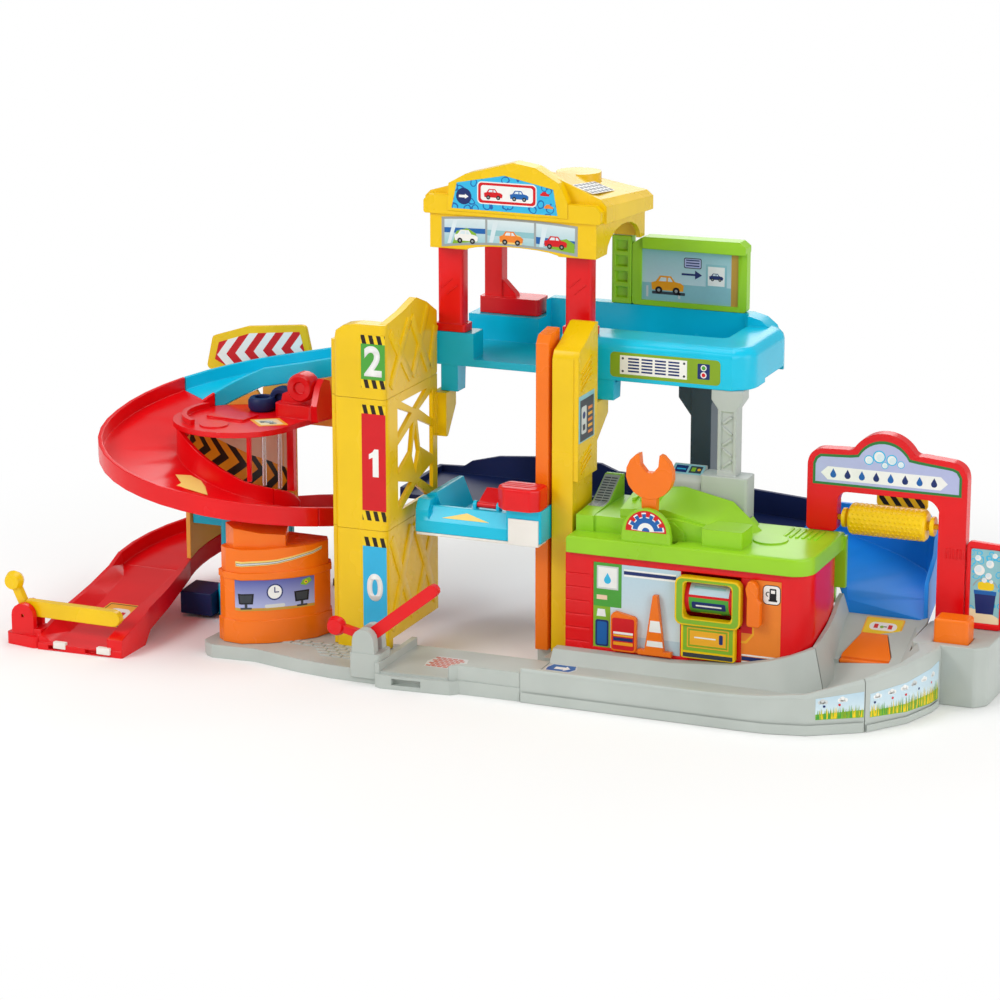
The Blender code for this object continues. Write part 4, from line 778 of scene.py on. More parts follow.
spiral = {
    "x": -274.0, "y": 50.0, "coreFace": 50.9, "rimToFloor": 12.0,
    "rims": ((70.0, 229.0), (180.0, 180.0), (330.0, 129.0), (540.0, 48.0)),     # turn and height of the rim
    "signFace": 175.5,
    "sign": [(-360, 206), (-355.5, 222.5), (-323, 233.5), (-272, 239), (-267.5, 223), (-267.5, 211.5),
             (-345, 199)],
    "cardTop": 179.5, "cardFoot": 96,
    # radius and turn of each corner
    "arrow": ((72, 246), (60, 251.5), (58.5, 262), (66, 270), (82, 277), (87, 258), (79, 257)),
    "arrowLift": 0.2, "arrowThickness": 0.5,
    "diamond": (-240, 44, 186.0),
}
hut = {
    "plan": [(-226.5, -58.1), (-219, -59), (-199, -49), (-181, -34), (-168, -18), (-164.5, -6)],
    "centre": (-203, -24), "setback": 0.974,        # the upper wall stands a little further in
    "windowFoot": 42, "windowTop": 69.5, "windowStop": 12.8,
}


def rimHeight(angle):
    for (low, start), (high, end) in zip(spiral["rims"], spiral["rims"][1:]):
        if angle <= high:
            return start + (end - start) * (angle - low) / (high - low)
    return spiral["rims"][-1][1]


def spiralPoint(radius, angle, height):
    turn = math.radians(angle)
    return (spiral["x"] + radius * math.cos(turn), spiral["y"] + radius * math.sin(turn), height)


def buildSpiralLabels():
    chevrons = stripePrint("red and white chevron print", "white", "red", 19.0, -0.85, middle=271.0,
                           rise=0.17, start=6.0)
    frontLabel("chevron_sign_label", "chevron_sign", spiral["signFace"], [(chevrons, spiral["sign"], 0)])

    # Inner wall of the core: peach card with a black and orange chevron band that falls to the right
    path = [spiralPoint(spiral["coreFace"], angle, 0.0) for angle in range(176, 42, -8)]
    length = pathLength(path)
    bandPrint = stripePrint("gold and coffee chevron print", "gold", "coffee", 17.3, 0.9, middle=164.0,
                            rise=-0.80, bend=0.0036, start=16.0, share=0.46)
    tops = [(0, 168.5), (14, 164.6), (28, 158), (46, 147.5), (64, 138.5), (90, 133), (length, 131)]
    feet = [(length, spiral["cardFoot"]), (64, spiral["cardFoot"]), (43, 100), (23, 112), (12, 124), (0, 134)]
    layers = [("peach", [(0, 128), (length, spiral["cardFoot"]), (length, spiral["cardTop"]),
                         (0, spiral["cardTop"])], 0),
              (bandPrint, feet[::-1] + tops[::-1], 1)]
    bentLabel("core_wall_label", "core_rear_wall", path, (0, 0, 1), layers)

    # Yellow arrow on the red floor, beside the core
    bm = bmesh.new()
    corners = []
    for radius, angle in spiral["arrow"]:
        height = rimHeight(angle) - spiral["rimToFloor"] + spiral["arrowLift"]
        corners.append(bm.verts.new(atGrid(*spiralPoint(radius, angle, height))))
    thickened(bm, [bm.faces.new(corners)], (0, 0, spiral["arrowThickness"] * mm))
    finishedPiece("spiral_floor_label", bm, [ink("straw")], "spiral_upper")

    # Diamond on the platform, with a grey car on it
    layers = [("amber", [(-20, 0), (0, -17), (20, 0), (0, 17)], 0),
              ("cream", [(-15.5, 0), (0, -13), (15.5, 0), (0, 13)], 1)]
    layers += carPicture(0, -1, 0.85, "silver", 2)
    flatLabel("platform_label", "platform", spiral["diamond"], (1, -0.1, 0), (0.1, 1, 0), layers)


def buildHutLabels():
    # Office window with two screens, a clock over a sheet of paper, and a green leaf with a flower
    path = [(x, y, 0.0) for x, y in hut["plan"]]
    length = pathLength(path)
    end = length - hut["windowStop"]
    foot = hut["windowFoot"]
    dusk = skyPrint("office print", "lavender", "violet", foot, 69)
    layers = [(dusk, rectangle(1, foot, end, hut["windowTop"]), 0),
              ("ochre", rectangle(1, foot, end, foot + 2.5), 1)]
    for u in (11.5, end - 12):
        layers += [("black", [(u - 6.5, 48), (u + 6, 48), (u + 7, 57.5), (u - 7.5, 57.5)], 1),
                   ("darkGrey", [(u - 5, 49.4), (u + 4.6, 49.4), (u + 5.4, 56.2), (u - 5.8, 56.2)], 2),
                   ("darkGrey", rectangle(u - 1.2, 44, u + 1.2, 48.5), 1),
                   ("darkGrey", rectangle(u - 5, 43.4, u + 5, 45.0), 2)]
    middle = end / 2
    layers += [("white", disc(middle, 58.5, 7.4), 1),
               ("navy", band(middle, 58.5, 7.4, 6.2, 0, 359, 24), 2),
               ("navy", rectangle(middle - 0.5, 58, middle + 0.5, 63), 3),
               ("navy", rectangle(middle - 0.4, 57.8, middle + 3.8, 58.8), 3),
               ("paleGrey", softRectangle(middle - 9, 44.4, middle + 9, 47.6, 1.2), 2),
               ("leaf", [(end - 13.5, 63), (end - 8, 61.5), (end - 2.5, 65), (end - 4.5, 68.6),
                         (end - 11, 67)], 1),
               ("yellow", disc(end - 8, 64.8, 1.7, 12), 2), ("navy", disc(end - 8, 64.8, 0.8, 10), 3)]
    bentLabel("hut_window_label", "hut", path, (0, 0, 1), layers)

    # Rail above the window, three prints deep: left, middle and right ends of its lower and upper edge
    x0, y0 = hut["centre"]
    raised = [(x0 + (x - x0) * hut["setback"], y0 + (y - y0) * hut["setback"], 0.0) for x, y in hut["plan"]]
    bend = length * 0.45
    layers = [(paint, [(left, lows[0]), (bend, lows[1]), (right, lows[2]), (right, tops[2]), (bend, tops[1]),
                       (left, tops[0])], level)
              for level, (paint, left, right, lows, tops) in enumerate((
                  ("straw", 1, length - 3, (81.6, 83.4, 90.8), (86.2, 87.4, 93.8)),
                  ("darkGrey", 1.5, length - 3.6, (82.2, 84.0, 91.2), (84.6, 86.0, 92.8)),
                  ("paleGrey", 2, length - 4, (82.6, 84.4, 91.5), (84.2, 85.6, 92.4))))]
    bentLabel("hut_rail_label", "hut", raised, (0, 0, 1), layers)


buildSpiralLabels()
buildHutLabels()
print("spiral and hut labelled")


# Lift, its pole and the deck

deck = {
    "front": 84.4, "panel": (68, 246.5, 168, 268.5), "slots": (4, 5), "slotPitch": (12.2, 2.75),
    "slotSize": (10, 1.5), "signFace": 190.5, "signBay": (58, 293, 141, 339), "signEdge": 148,
}
lift = {"traySlope": (8, 12.5), "trayPlace": (-33, 4.0, 130.3)}     # the slope's run and climb
pole = {"face": 62.0, "bars": (47, 57), "firstBar": 204, "barPitch": 5.2, "barHeight": 2.6,
        "ribs": (176, 181, 186, 249, 254, 259, 264), "ribDepth": (61.6, 63.0), "ribReach": (30, 56),
        "ribHeight": 1.6, "ribTilt": 24}


def buildDeckLabels():
    # Loudspeaker panel with four screws and a traffic light
    u0, v0, u1, v1 = deck["panel"]
    layers = [("olive", softRectangle(u0, v0, u1, v1, 4), 0),
              ("white", rectangle(u0 + 9, v0 + 3, u0 + 70, v1 - 2.5), 1)]
    wide, tall = deck["slotSize"]
    for column in range(deck["slots"][0]):
        for row in range(deck["slots"][1]):
            left = u0 + 16.5 + column * deck["slotPitch"][0]
            low = v0 + 5.2 + row * deck["slotPitch"][1]
            layers.append(("navy", rectangle(left, low, left + wide, low + tall), 2))
    layers += [("darkGrey", disc(u, v, 1.1, 12), 2)
               for u in (u0 + 11.6, u0 + 67.4) for v in (v0 + 5.6, v1 - 5.2)]
    layers.append(("navy", softRectangle(u1 - 20.5, v0 + 4.5, u1 - 9.5, v1 - 4, 1), 1))
    for v, paint in ((v1 - 7.6, "green"), (v0 + 8.2, "red")):
        layers += [("white", disc(u1 - 15, v, 2.7, 16), 2), (paint, disc(u1 - 15, v, 1.8, 16), 3)]
    frontLabel("deck_panel_label", "upper_deck", deck["front"], layers)

    # Parking sign: a car in a bay, a notice, and an arrow to a plate with a car
    left, foot, right, top = deck["signBay"]
    wall = skyPrint("parking bay print", "ice", "teal", foot, top)
    layers = [(wall, rectangle(left, foot, right, top), 0), ("teal", rectangle(left, foot, right, 309), 1),
              ("ochre", rectangle(right, foot, deck["signEdge"], top), 0),
              ("slate", softRectangle(97, 324, 113.5, 333.5, 1.6), 1),
              ("lavender", softRectangle(97.8, 324.8, 112.7, 332.7, 1.2), 2)]
    layers += [("navy", rectangle(99, low, 111.5, low + 1.1), 3) for low in (326.0, 328.4, 330.8)]
    layers += [("navy", arrowShape(95, 318.5, 19, 0.9, 6.5), 2),
               ("teal", rectangle(117.5, 308, 137, 329), 2), ("white", rectangle(119.5, 310, 135, 327), 3)]
    layers += carPicture(127.2, 317.5, 0.62, "navy", 4)
    layers += [("paleGrey", rectangle(62, 296, 64, 306), 2), ("paleGrey", rectangle(92, 296, 94, 306), 2),
               ("slate", softRectangle(67.5, 299.0, 98.5, 301.6, 0.8), 2)]
    layers += carPicture(82, 307.0, 1.45, "gold", 3)
    frontLabel("deck_sign_label", "deck_sign", deck["signFace"], layers)


def buildLiftLabels():
    # Yellow plate on the sloping front of the tray
    layers = [("straw", [(-22, -3.0), (22, -3.0), (0, 3.4)], 0)]
    flatLabel("lift_tray_label", "lift_tray", lift["trayPlace"], (1, 0, 0), (0, *lift["traySlope"]), layers)
    # Screen on the right face of the service pole
    layers = [("teal", [(25, 199), (62, 199), (62, 240), (25, 240)], 0),
              ("darkGrey", [(28, 200), (60, 200), (60, 236), (28, 236)], 1)]
    left, right = pole["bars"]
    for row in range(5):
        low = pole["firstBar"] + row * pole["barPitch"]
        paint = "amber" if row % 2 else "orange"
        layers.append((paint, rectangle(left, low, right, low + pole["barHeight"]), 2))
    layers += [("paleGrey", softRectangle(31, 206, 43, 230, 2), 2), ("navy", disc(37, 222, 3.2, 16), 3),
               ("darkGrey", rectangle(34, 209, 40, 214), 3)]
    flatLabel("service_screen_label", "service_pole", (pole["face"], 0, 0), (0, 1, 0), (0, 0, 1), layers)
    # Slanting ribs above and below the screen
    bm = bmesh.new()
    for low in pole["ribs"]:
        verts = gridBlock(bm, *pole["ribDepth"], *pole["ribReach"], low, low + pole["ribHeight"])
        bmesh.ops.rotate(bm, verts=verts, cent=atGrid(pole["face"], sum(pole["ribReach"]) / 2, low),
                         matrix=Matrix.Rotation(math.radians(pole["ribTilt"]), 3, "X"))
    reliefPiece("service_pole_ribs", "service_pole", bm)


buildDeckLabels()
buildLiftLabels()
print("deck and lift labelled")


# Fuel station

station = {
    "sheet": 6.8, "sheetFoot": 27.6, "sheetTop": 102.6, "canFace": 2.0, "coneFace": 1.0,
    "gearCentre": (131.0, 134.4), "gearRadius": 18.3, "gearFace": 4.5,
    "drum": (189.0, 15.0, 81.0), "drumRadius": 14.5, "drumHalf": 21.3, "drumPanel": 17.6, "drumTurn": 21.5,
    "pumpFace": -2.5, "pumpDoor": 0.5,
}
stationRoof = {
    "grille": [(77.2, 46.0, 140.3), (77.2, 60.0, 141.0), (77.2, 89.4, 157.66)], "grillePitch": 3.2,
    "console": (137, 95.6, 167.5), "consoleSlope": (15.2, 7),
    "columnLeft": 169.4, "columnRight": 179.6, "columnFace": (85.4, 87.0), "braceFoot": 177,
    "bracePitch": 9.6, "braceWidth": 2.4, "braceTilt": 38, "braceEdge": 0.4,
    "treads": ((6, 232, 5.5, 2.6, 66, 94, 124.6, 1.4, 0.0), (4, 104, 7, 3, 44, 66, 149.0, 2.6, 0.6)),
    "treadEdge": 0.35,
}


def buildStationLabels():
    low, high = station["sheetFoot"], station["sheetTop"]
    # Left of the pump: a pump room's wall with a water tap and a can
    wall = skyPrint("station wall print", "ice", "paleBlue", 27, 103)
    layers = [(wall, rectangle(83.6, low, 162, high), 0), ("green", rectangle(83.6, 64, 109, high), 1),
              ("leaf", rectangle(83.6, low, 99, 64), 1), ("paleGrey", rectangle(86.5, 79.5, 106, 100), 2),
              ("white", rectangle(87.8, 81, 104.6, 98.6), 3), ("sky", drop(96.2, 87.5, 4.4), 4),
              ("peach", rectangle(86.5, 70, 96, 74), 2),
              ("white", [(86.5, 55), (95, 55), (94, 61.5), (87.5, 61.5)], 2),
              ("navy", softRectangle(85.5, 28.5, 97.5, 52, 2), 2),
              ("blue", softRectangle(87, 30, 96, 50.4, 1.5), 3), ("white", rectangle(111, 92.5, 158, 99), 1),
              ("navy", rectangle(111, 94.3, 158, 97.4), 2), ("paleBlue", rectangle(109, low, 162, 40), 1)]
    frontLabel("station_wall_label", "station_body", station["sheet"], layers)

    # Right of the pump: an orange panel with a pump sign
    layers = [("orange", rectangle(216.5, low, 251, high), 0), ("red", rectangle(216.5, 55, 226, high), 1),
              ("amber", [(226, 55), (226, high), (227.6, high), (227.6, 54), (221, 46), (216.5, 46),
                         (216.5, 48), (220, 48)], 2),
              ("white", rectangle(217, low, 251, 30.5), 1), ("navy", rectangle(217, 31, 251, 34.5), 1),
              ("white", rectangle(217, 35, 251, 36.4), 1),
              ("black", softRectangle(234.6, 82.2, 250.4, 99.4, 4), 1),
              ("white", softRectangle(235.3, 82.9, 249.7, 98.7, 3.4), 2),
              ("black", softRectangle(240.6, 86.4, 246.6, 96.4, 0.8), 3),
              ("white", rectangle(241.8, 92.2, 245.4, 95), 4),
              ("black", rectangle(239.8, 85.2, 247.4, 86.8), 3),
              ("black", band(239.4, 91.4, 2.2, 1.4, 60, 270, 8), 3)]
    frontLabel("station_panel_label", "station_body", station["sheet"], layers)

    layers = [("red", softRectangle(102.4, 28.6, 122.4, 56.6, 2), 0)]
    layers += [(paint, rectangle(103.6, foot, 121.4, top), 1) for paint, foot, top in
               (("amber", 40.4, 41.8), ("white", 42.4, 44.4), ("navy", 36.4, 39.4), ("gold", 32.6, 35.4))]
    frontLabel("can_label", "cone_relief", station["canFace"], layers)
    layers = [("white", [(136.1, 48), (146.9, 48), (145.5, 58), (137.3, 58)], 0),
              ("white", [(134.0, 35), (148.9, 35), (148.0, 40), (134.6, 40)], 0)]
    frontLabel("cone_label", "cone_relief", station["coneFace"], layers)

    # Half a gear wheel on the round board under the wrench
    u, v = station["gearCentre"]
    layers = [("red", arcPoints(u, v, station["gearRadius"], 0, 180, 20), 0),
              ("white", gearShape(u, v + 0.2, 16.6, 3.0, 6, 4, 176), 1),
              ("blue", gearShape(u, v + 0.4, 15.2, 7.4, 6, 6, 174), 2),
              ("white", band(u, v + 0.4, 7.4, 3.6, 2, 178, 12), 3),
              ("blue", arcPoints(u, v + 0.4, 3.4, 0, 180, 10), 3)]
    frontLabel("gear_label", "station_roof", station["gearFace"], layers)


def buildPumpLabels():
    # Display drum: panels all the way round, with plain plates
    x, y, z = station["drum"]
    radius = station["drumRadius"]
    turns = [math.radians(angle) for angle in range(-180, 181, 15)]
    path = [(x, y - radius * math.cos(turn), z - radius * math.sin(turn)) for turn in turns]
    length = pathLength(path)
    half = length / 2
    wide, panel = station["drumHalf"], station["drumPanel"]
    layers = [("green", rectangle(0.05, -wide, length - 0.05, wide), 0),
              ("red", rectangle(0.05, -wide, length - 0.05, -panel), 1),
              ("red", rectangle(0.05, panel, length - 0.05, wide), 1)]
    for first, paint in ((half - station["drumTurn"], "paleBlue"), (half + station["drumTurn"], "paleBlue"),
                         (0.3, "sky")):
        last = min(first + 19.5, length - 0.3)
        layers += [(paint, rectangle(first, -panel, last, panel), 1),
                   ("red", rectangle(last - 2.2, -panel, last, panel), 2)]
    layers += [("yellow", rectangle(half - 20, -9, half - 15.5, 9), 2),
               ("yellow", rectangle(half + 14, -9, half + 18, 9), 2),
               ("teal", rectangle(half - 12.5, -14, half - 10, 14), 2),
               ("navy", softRectangle(half + 1.5, -15, half + 8.5, 15, 1.4), 2),
               ("white", softRectangle(half + 4.2, -11.5, half + 5.8, 11.5, 0.6), 3)]
    layers += [("black", disc(half + turn, place, 0.9, 10), 3)
               for place in (-6, -2, 2, 6) for turn in (-17.8, 16)]
    bentLabel("drum_label", "pump_drum", path, (1, 0, 0), layers)

    # Green print round the pump's opening, and its door
    bm = labelMesh([])[0]
    for outline in (softRectangle(161.6, 60.4, 216.4, 99.6, 5), softRectangle(166.6, 64.0, 211.4, 97.6, 3.4)):
        ring = [bm.verts.new((u, v, 0.3)) for u, v in outline]
        for first, second in zip(ring, ring[1:] + ring[:1]):
            bm.edges.new((first, second))
    thickened(bm, bmesh.ops.bridge_loops(bm, edges=bm.edges)["faces"], (0, 0, -0.5))
    bmesh.ops.transform(bm, matrix=onPlane((0, station["pumpFace"], 0), (1, 0, 0), (0, 0, 1)), verts=bm.verts)
    finishedPiece("pump_frame_label", bm, [ink("leaf")], "pump_frame")
    layers = [("leaf", rectangle(167, 36, 211, 58.5), 0), ("amber", rectangle(170.5, 39, 207.5, 56.5), 1),
              ("olive", rectangle(171.5, 40, 206.5, 55.5), 2), ("amber", rectangle(173, 41.5, 205, 54), 3),
              ("white", rectangle(177, 47.6, 196, 48.8), 4),
              ("navy", softRectangle(199, 44, 202.4, 52.5, 1.2), 4),
              ("darkGrey", rectangle(167, 30.3, 211, 34), 0)]
    frontLabel("pump_door_label", "pump_frame", station["pumpDoor"], layers)


def buildStationRoof():
    # Silver grille that climbs the left end of the roof
    length = pathLength(stationRoof["grille"])
    layers = [("silver", rectangle(0, 0.4, length, 14.6), 0)]
    for row in range(int(length / stationRoof["grillePitch"])):
        low = 1.4 + row * stationRoof["grillePitch"]
        layers += [("slate", rectangle(low, v, low + 1.3, v + 5.4), 1) for v in (1.8, 8.0)]
    bentLabel("roof_grille_label", "station_roof", stationRoof["grille"], (-1, 0, 0), layers)

    # Screens on the console
    layers = [("teal", softRectangle(-14, -6.6, 14, 6.8, 1.5), 0), ("navy", rectangle(-12, -4.6, -1, 4.8), 1),
              ("darkGrey", rectangle(1, -4.6, 12, 4.8), 1), ("sky", rectangle(-10.6, -1, -2.4, 0.6), 2),
              ("leaf", rectangle(2.6, -2.4, 6.4, 3), 2), ("amber", disc(9.4, 0.4, 1.6, 12), 2)]
    slope = (0, *stationRoof["consoleSlope"])
    flatLabel("console_label", "console", stationRoof["console"], (1, 0, 0), slope, layers)

    # Lattice on the front of the light column
    bm = bmesh.new()
    left, right, width = stationRoof["columnLeft"], stationRoof["columnRight"], stationRoof["braceWidth"]
    for index in range(5):
        foot = stationRoof["braceFoot"] + index * stationRoof["bracePitch"]
        verts = gridBlock(bm, left, right, *stationRoof["columnFace"], foot, foot + width)
        turn = math.radians(stationRoof["braceTilt"] * (1 if index % 2 else -1))
        bmesh.ops.rotate(bm, verts=verts, cent=atGrid((left + right) / 2, 86, foot + width / 2),
                         matrix=Matrix.Rotation(turn, 3, "Y"))
    roundEdges(bm, bm.edges, stationRoof["braceEdge"])
    reliefPiece("light_column_lattice", "light_column", bm)

    # Coarse treads and steps moulded in the green roof
    bm = bmesh.new()
    for count, left, pitch, width, front, back, foot, height, climb in stationRoof["treads"]:
        for index in range(count):
            x, z = left + index * pitch, foot + index * climb
            gridBlock(bm, x, x + width, front, back, z, z + height)
    roundEdges(bm, bm.edges, stationRoof["treadEdge"])
    reliefPiece("roof_treads", "station_roof", bm)


buildStationLabels()
buildPumpLabels()
buildStationRoof()
print("station labelled")


# Car wash

wash = {
    "gateFront": 98.0, "signFace": 101.5, "hazardFace": 170.6,
    "bubbles": ((297, 191, 4.2), (306, 194.5, 5.6), (317, 192.6, 4.8), (325, 189.4, 3.2), (311, 187.4, 3.0)),
    "drops": 8, "dropPitch": 12.6, "dropSize": 3.7,
    "legRibs": 6, "legRibLeft": 366.0, "legRibPitch": 3.1, "legRibWidth": 1.3, "legRibEdge": 0.3,
    "legRibBox": (97.3, 98.6, 112.0, 121.0),
    "foam": ((395, 104, 4.6), (404, 110, 3.4), (403, 99.5, 2.8), (393.5, 114.5, 2.6), (408, 117.5, 2.2),
             (399.5, 95.6, 2.2), (405.5, 94.8, 1.6)),
    "roller": (314.5, 104.0, 137.0), "rollerRadius": 13.2, "rollerHalf": 31.0,
    "bobbleRows": 22, "bobblePitch": 4.4, "bobble": (1.7, 0.75, 1.5),
    "notice": (316, 90.0, 47.9), "noticeSlope": (23, 11),      # the ramp floor's run and climb
}


def buildWashLabels():
    # Sign over the gate: a green edge, an arrow plate with water drops, and soap bubbles
    outer = [(248, 166), (378, 166), (378, 183), (375, 188.5), (370, 190.6), (341, 193.6)]
    outer += arcPoints(310, 182.5, 26.0, 28, 152, 12)
    outer += [(279, 193.6), (254, 192.4), (250, 189.4), (248, 184)]
    inner = [(250.2, 168.2), (375.8, 168.2), (375.8, 182.6), (373.2, 186.8), (369.4, 188.4), (339.4, 191.4)]
    inner += arcPoints(310, 181.4, 24.6, 27, 153, 12)
    inner += [(280.6, 191.4), (255, 190.2), (252, 188), (250.2, 183.4)]
    layers = [("darkGreen", outer, 0), ("lavender", inner, 1),
              ("white", [(261, 170.6), (360, 170.6), (366, 176.4), (360, 182.2), (261, 182.2),
                         (255, 176.4)], 2)]
    layers += [("navy" if index % 2 else "blue",
                drop(266 + index * wash["dropPitch"], 175.2, wash["dropSize"]), 3)
               for index in range(wash["drops"])]
    for u, v, radius in wash["bubbles"]:
        layers += [("sky", disc(u, v, radius, 20), 2), ("white", disc(u, v, radius * 0.8, 20), 3),
                   ("ice", disc(u + radius * 0.15, v - radius * 0.1, radius * 0.6, 18), 4)]
    frontLabel("wash_sign_label", "wash_gate", wash["gateFront"], layers)

    # Poster with a bucket, a sponge and foam
    water = doodlePrint("wash poster print", "teal", "sky", 7.0)
    layers = [(water, softRectangle(387.4, 57.6, 413.1, 122.4, 2), 0),
              ("cream", [(387.4, 57.7), (413.1, 57.7), (413.1, 63), (404, 67.5), (387.4, 70)], 1),
              ("navy", [(393, 66), (408, 66), (410, 86), (391, 86)], 2),
              ("blue", [(391, 83), (410, 83), (410.3, 86.4), (390.7, 86.4)], 3),
              ("yellow", softRectangle(394, 87, 408, 94, 2.4), 3),
              ("silver", band(400.5, 86, 11.6, 10.6, 20, 160, 14), 2)]
    for u, v, radius in wash["foam"]:
        layers += [("white", disc(u, v, radius, 18), 4),
                   ("ice", disc(u - radius * 0.2, v + radius * 0.2, radius * 0.62, 14), 5)]
    frontLabel("side_sign_label", "side_sign", wash["signFace"], layers)

    hazard = stripePrint("wash hazard print", "yellow", "black", 11.0, -0.75, middle=141.0, start=1.0)
    board = rectangle(286.4, 133.2, 327.6, 149.0)
    frontLabel("hazard_sign_label", "hazard_sign", wash["hazardFace"], [(hazard, board, 0)])

    # Yellow notice on the ramp floor
    layers = [("amber", softRectangle(-17, -11, 17, 11, 1.5), 0),
              ("yellow", softRectangle(-15.6, -9.6, 15.6, 9.6, 1.2), 1),
              ("white", softRectangle(-12, -5, 12, 5, 4.6), 2), ("red", rectangle(-8, -2.6, -4.4, 2.6), 3),
              ("red", rectangle(4.4, -2.6, 8, 2.6), 3), ("leaf", disc(-1, -0.6, 1.7, 12), 3),
              ("darkGrey", rectangle(0.6, -0.6, 3.4, 0.4), 3)]
    flatLabel("ramp_label", "wash_ramp", wash["notice"], (1, 0, 0), (0, *wash["noticeSlope"]), layers)


def buildWashRelief():
    # Short upright ribs on the right leg of the gate
    bm = bmesh.new()
    for index in range(wash["legRibs"]):
        left = wash["legRibLeft"] + index * wash["legRibPitch"]
        gridBlock(bm, left, left + wash["legRibWidth"], *wash["legRibBox"])
    roundEdges(bm, bm.edges, wash["legRibEdge"])
    reliefPiece("gate_ribs", "wash_gate", bm)

    # Bobbled skin of the roller, in staggered rows
    bm = bmesh.new()
    x, y, z = wash["roller"]
    radius, pitch = wash["rollerRadius"], wash["bobblePitch"]
    size = Matrix.Diagonal((*[side * mm for side in wash["bobble"]], 1.0))
    for row in range(wash["bobbleRows"]):
        angle = math.tau * row / wash["bobbleRows"]
        turn = Matrix.Rotation(angle, 4, "X")
        along = x - wash["rollerHalf"] + (pitch / 2 if row % 2 else 0.0)
        while along <= x + wash["rollerHalf"] + 0.5:
            place = atGrid(along, y + radius * math.cos(angle), z + radius * math.sin(angle))
            bmesh.ops.create_icosphere(bm, subdivisions=1, radius=1.0,
                                       matrix=Matrix.Translation(place) @ turn @ size)
            along += pitch
    reliefPiece("roller_bobbles", "wash_roller", bm, smoothAngle=60)


buildWashLabels()
buildWashRelief()
print("wash labelled")


# Roads and ramps

roads = {
    # path of each strip, then its feet and its tops at the two ends
    "meadow": ([(305.7, -69.3, 0), (340.2, -47.55, 0)], 13, 13, 31, 35),
    "rampMeadow": ([(344.0, -42.9, 0), (366, -12, 0), (377, 22, 0), (378.6, 40.0, 0)], 12, 7, 32, 40),
    "foot": [(52.0, -81.0, 0), (245, -81.5, 0), (266, -80.8, 0), (299, -73.5, 0), (340.2, -47.6, 0)],
    "rampFoot": [(341.6, -46.2, 0), (366, -12, 0), (377, 22, 0), (378.6, 40.0, 0)],
    "footLevel": 26,        # label levels that the foot stands proud of the flank
    "floor": 14.0, "bricks": (-30, -47), "brickSize": (4.4, 3.0), "brickPitch": (5.2, 3.8),
    "arrow": (66.5, -24), "exit": (-356, -38, 16.3), "exitSlope": 0.226,
    "clips": ((-381.0, -369.0), (-338.0, -325.0)), "clipBox": (-106.3, -101.5, 2.4, 8.4), "clipEdge": 0.4,
    "cobbleLeft": -196, "cobbleRight": -112, "cobbleFront": -62, "cobbleBack": -27,
    "cobblePitch": (10.6, 7.0), "cobbleSize": (9.2, 5.8), "cobbleBox": (11.6, 12.7), "cobbleEdge": 0.4,
}


# A strip of sky with clouds over uneven grass, its height changing evenly along it
def meadowLayers(path, lowStart, lowEnd, highStart, highEnd, seed):
    length = pathLength(path)
    draw = random.Random(seed)

    def level(u, share):
        low = lowStart + (lowEnd - lowStart) * u / length
        high = highStart + (highEnd - highStart) * u / length
        return low + (high - low) * share

    def strip(paint, startShare, endShare, layer):
        return (paint, [(0, level(0, 0)), (length, level(length, 0)), (length, level(length, endShare)),
                        (0, level(0, startShare))], layer)

    sky = skyPrint("meadow sky %d" % seed, "ice", "paleBlue", min(lowStart, lowEnd), max(highStart, highEnd))
    layers = [strip(sky, 1, 1, 0), strip("leaf", 0.26, 0.3, 1)]
    for index in range(int(length / 14)):
        u = 7 + index * 14 + draw.uniform(-2, 2)
        if u < length - 7:
            v = level(u, draw.uniform(0.74, 0.84))
            layers += cloudPicture(u, v, 0.62, draw.choice(("white", "paleGrey")), 1)
    count = int(length / 0.95)
    for index in range(count):
        u = 1.2 + index * (length - 2.4) / count
        tall = draw.uniform(0.3, 0.56)
        lean = draw.uniform(-0.9, 0.9)
        paint = draw.choice(("leaf", "yellow", "olive", "green", "yellow"))
        blade = [(u - 0.8, level(u, 0.02)), (u + 0.8, level(u, 0.02)), (u + lean, level(u, tall))]
        layers.append((paint, blade, 2 + index % 3))
    for index in range(int(length / 18)):
        u = min(length - 3, 6 + index * 17 + draw.uniform(-3, 3))
        layers.append((draw.choice(("red", "navy")), disc(u, level(u, 0.6), 1.1, 8), 5))
    return layers


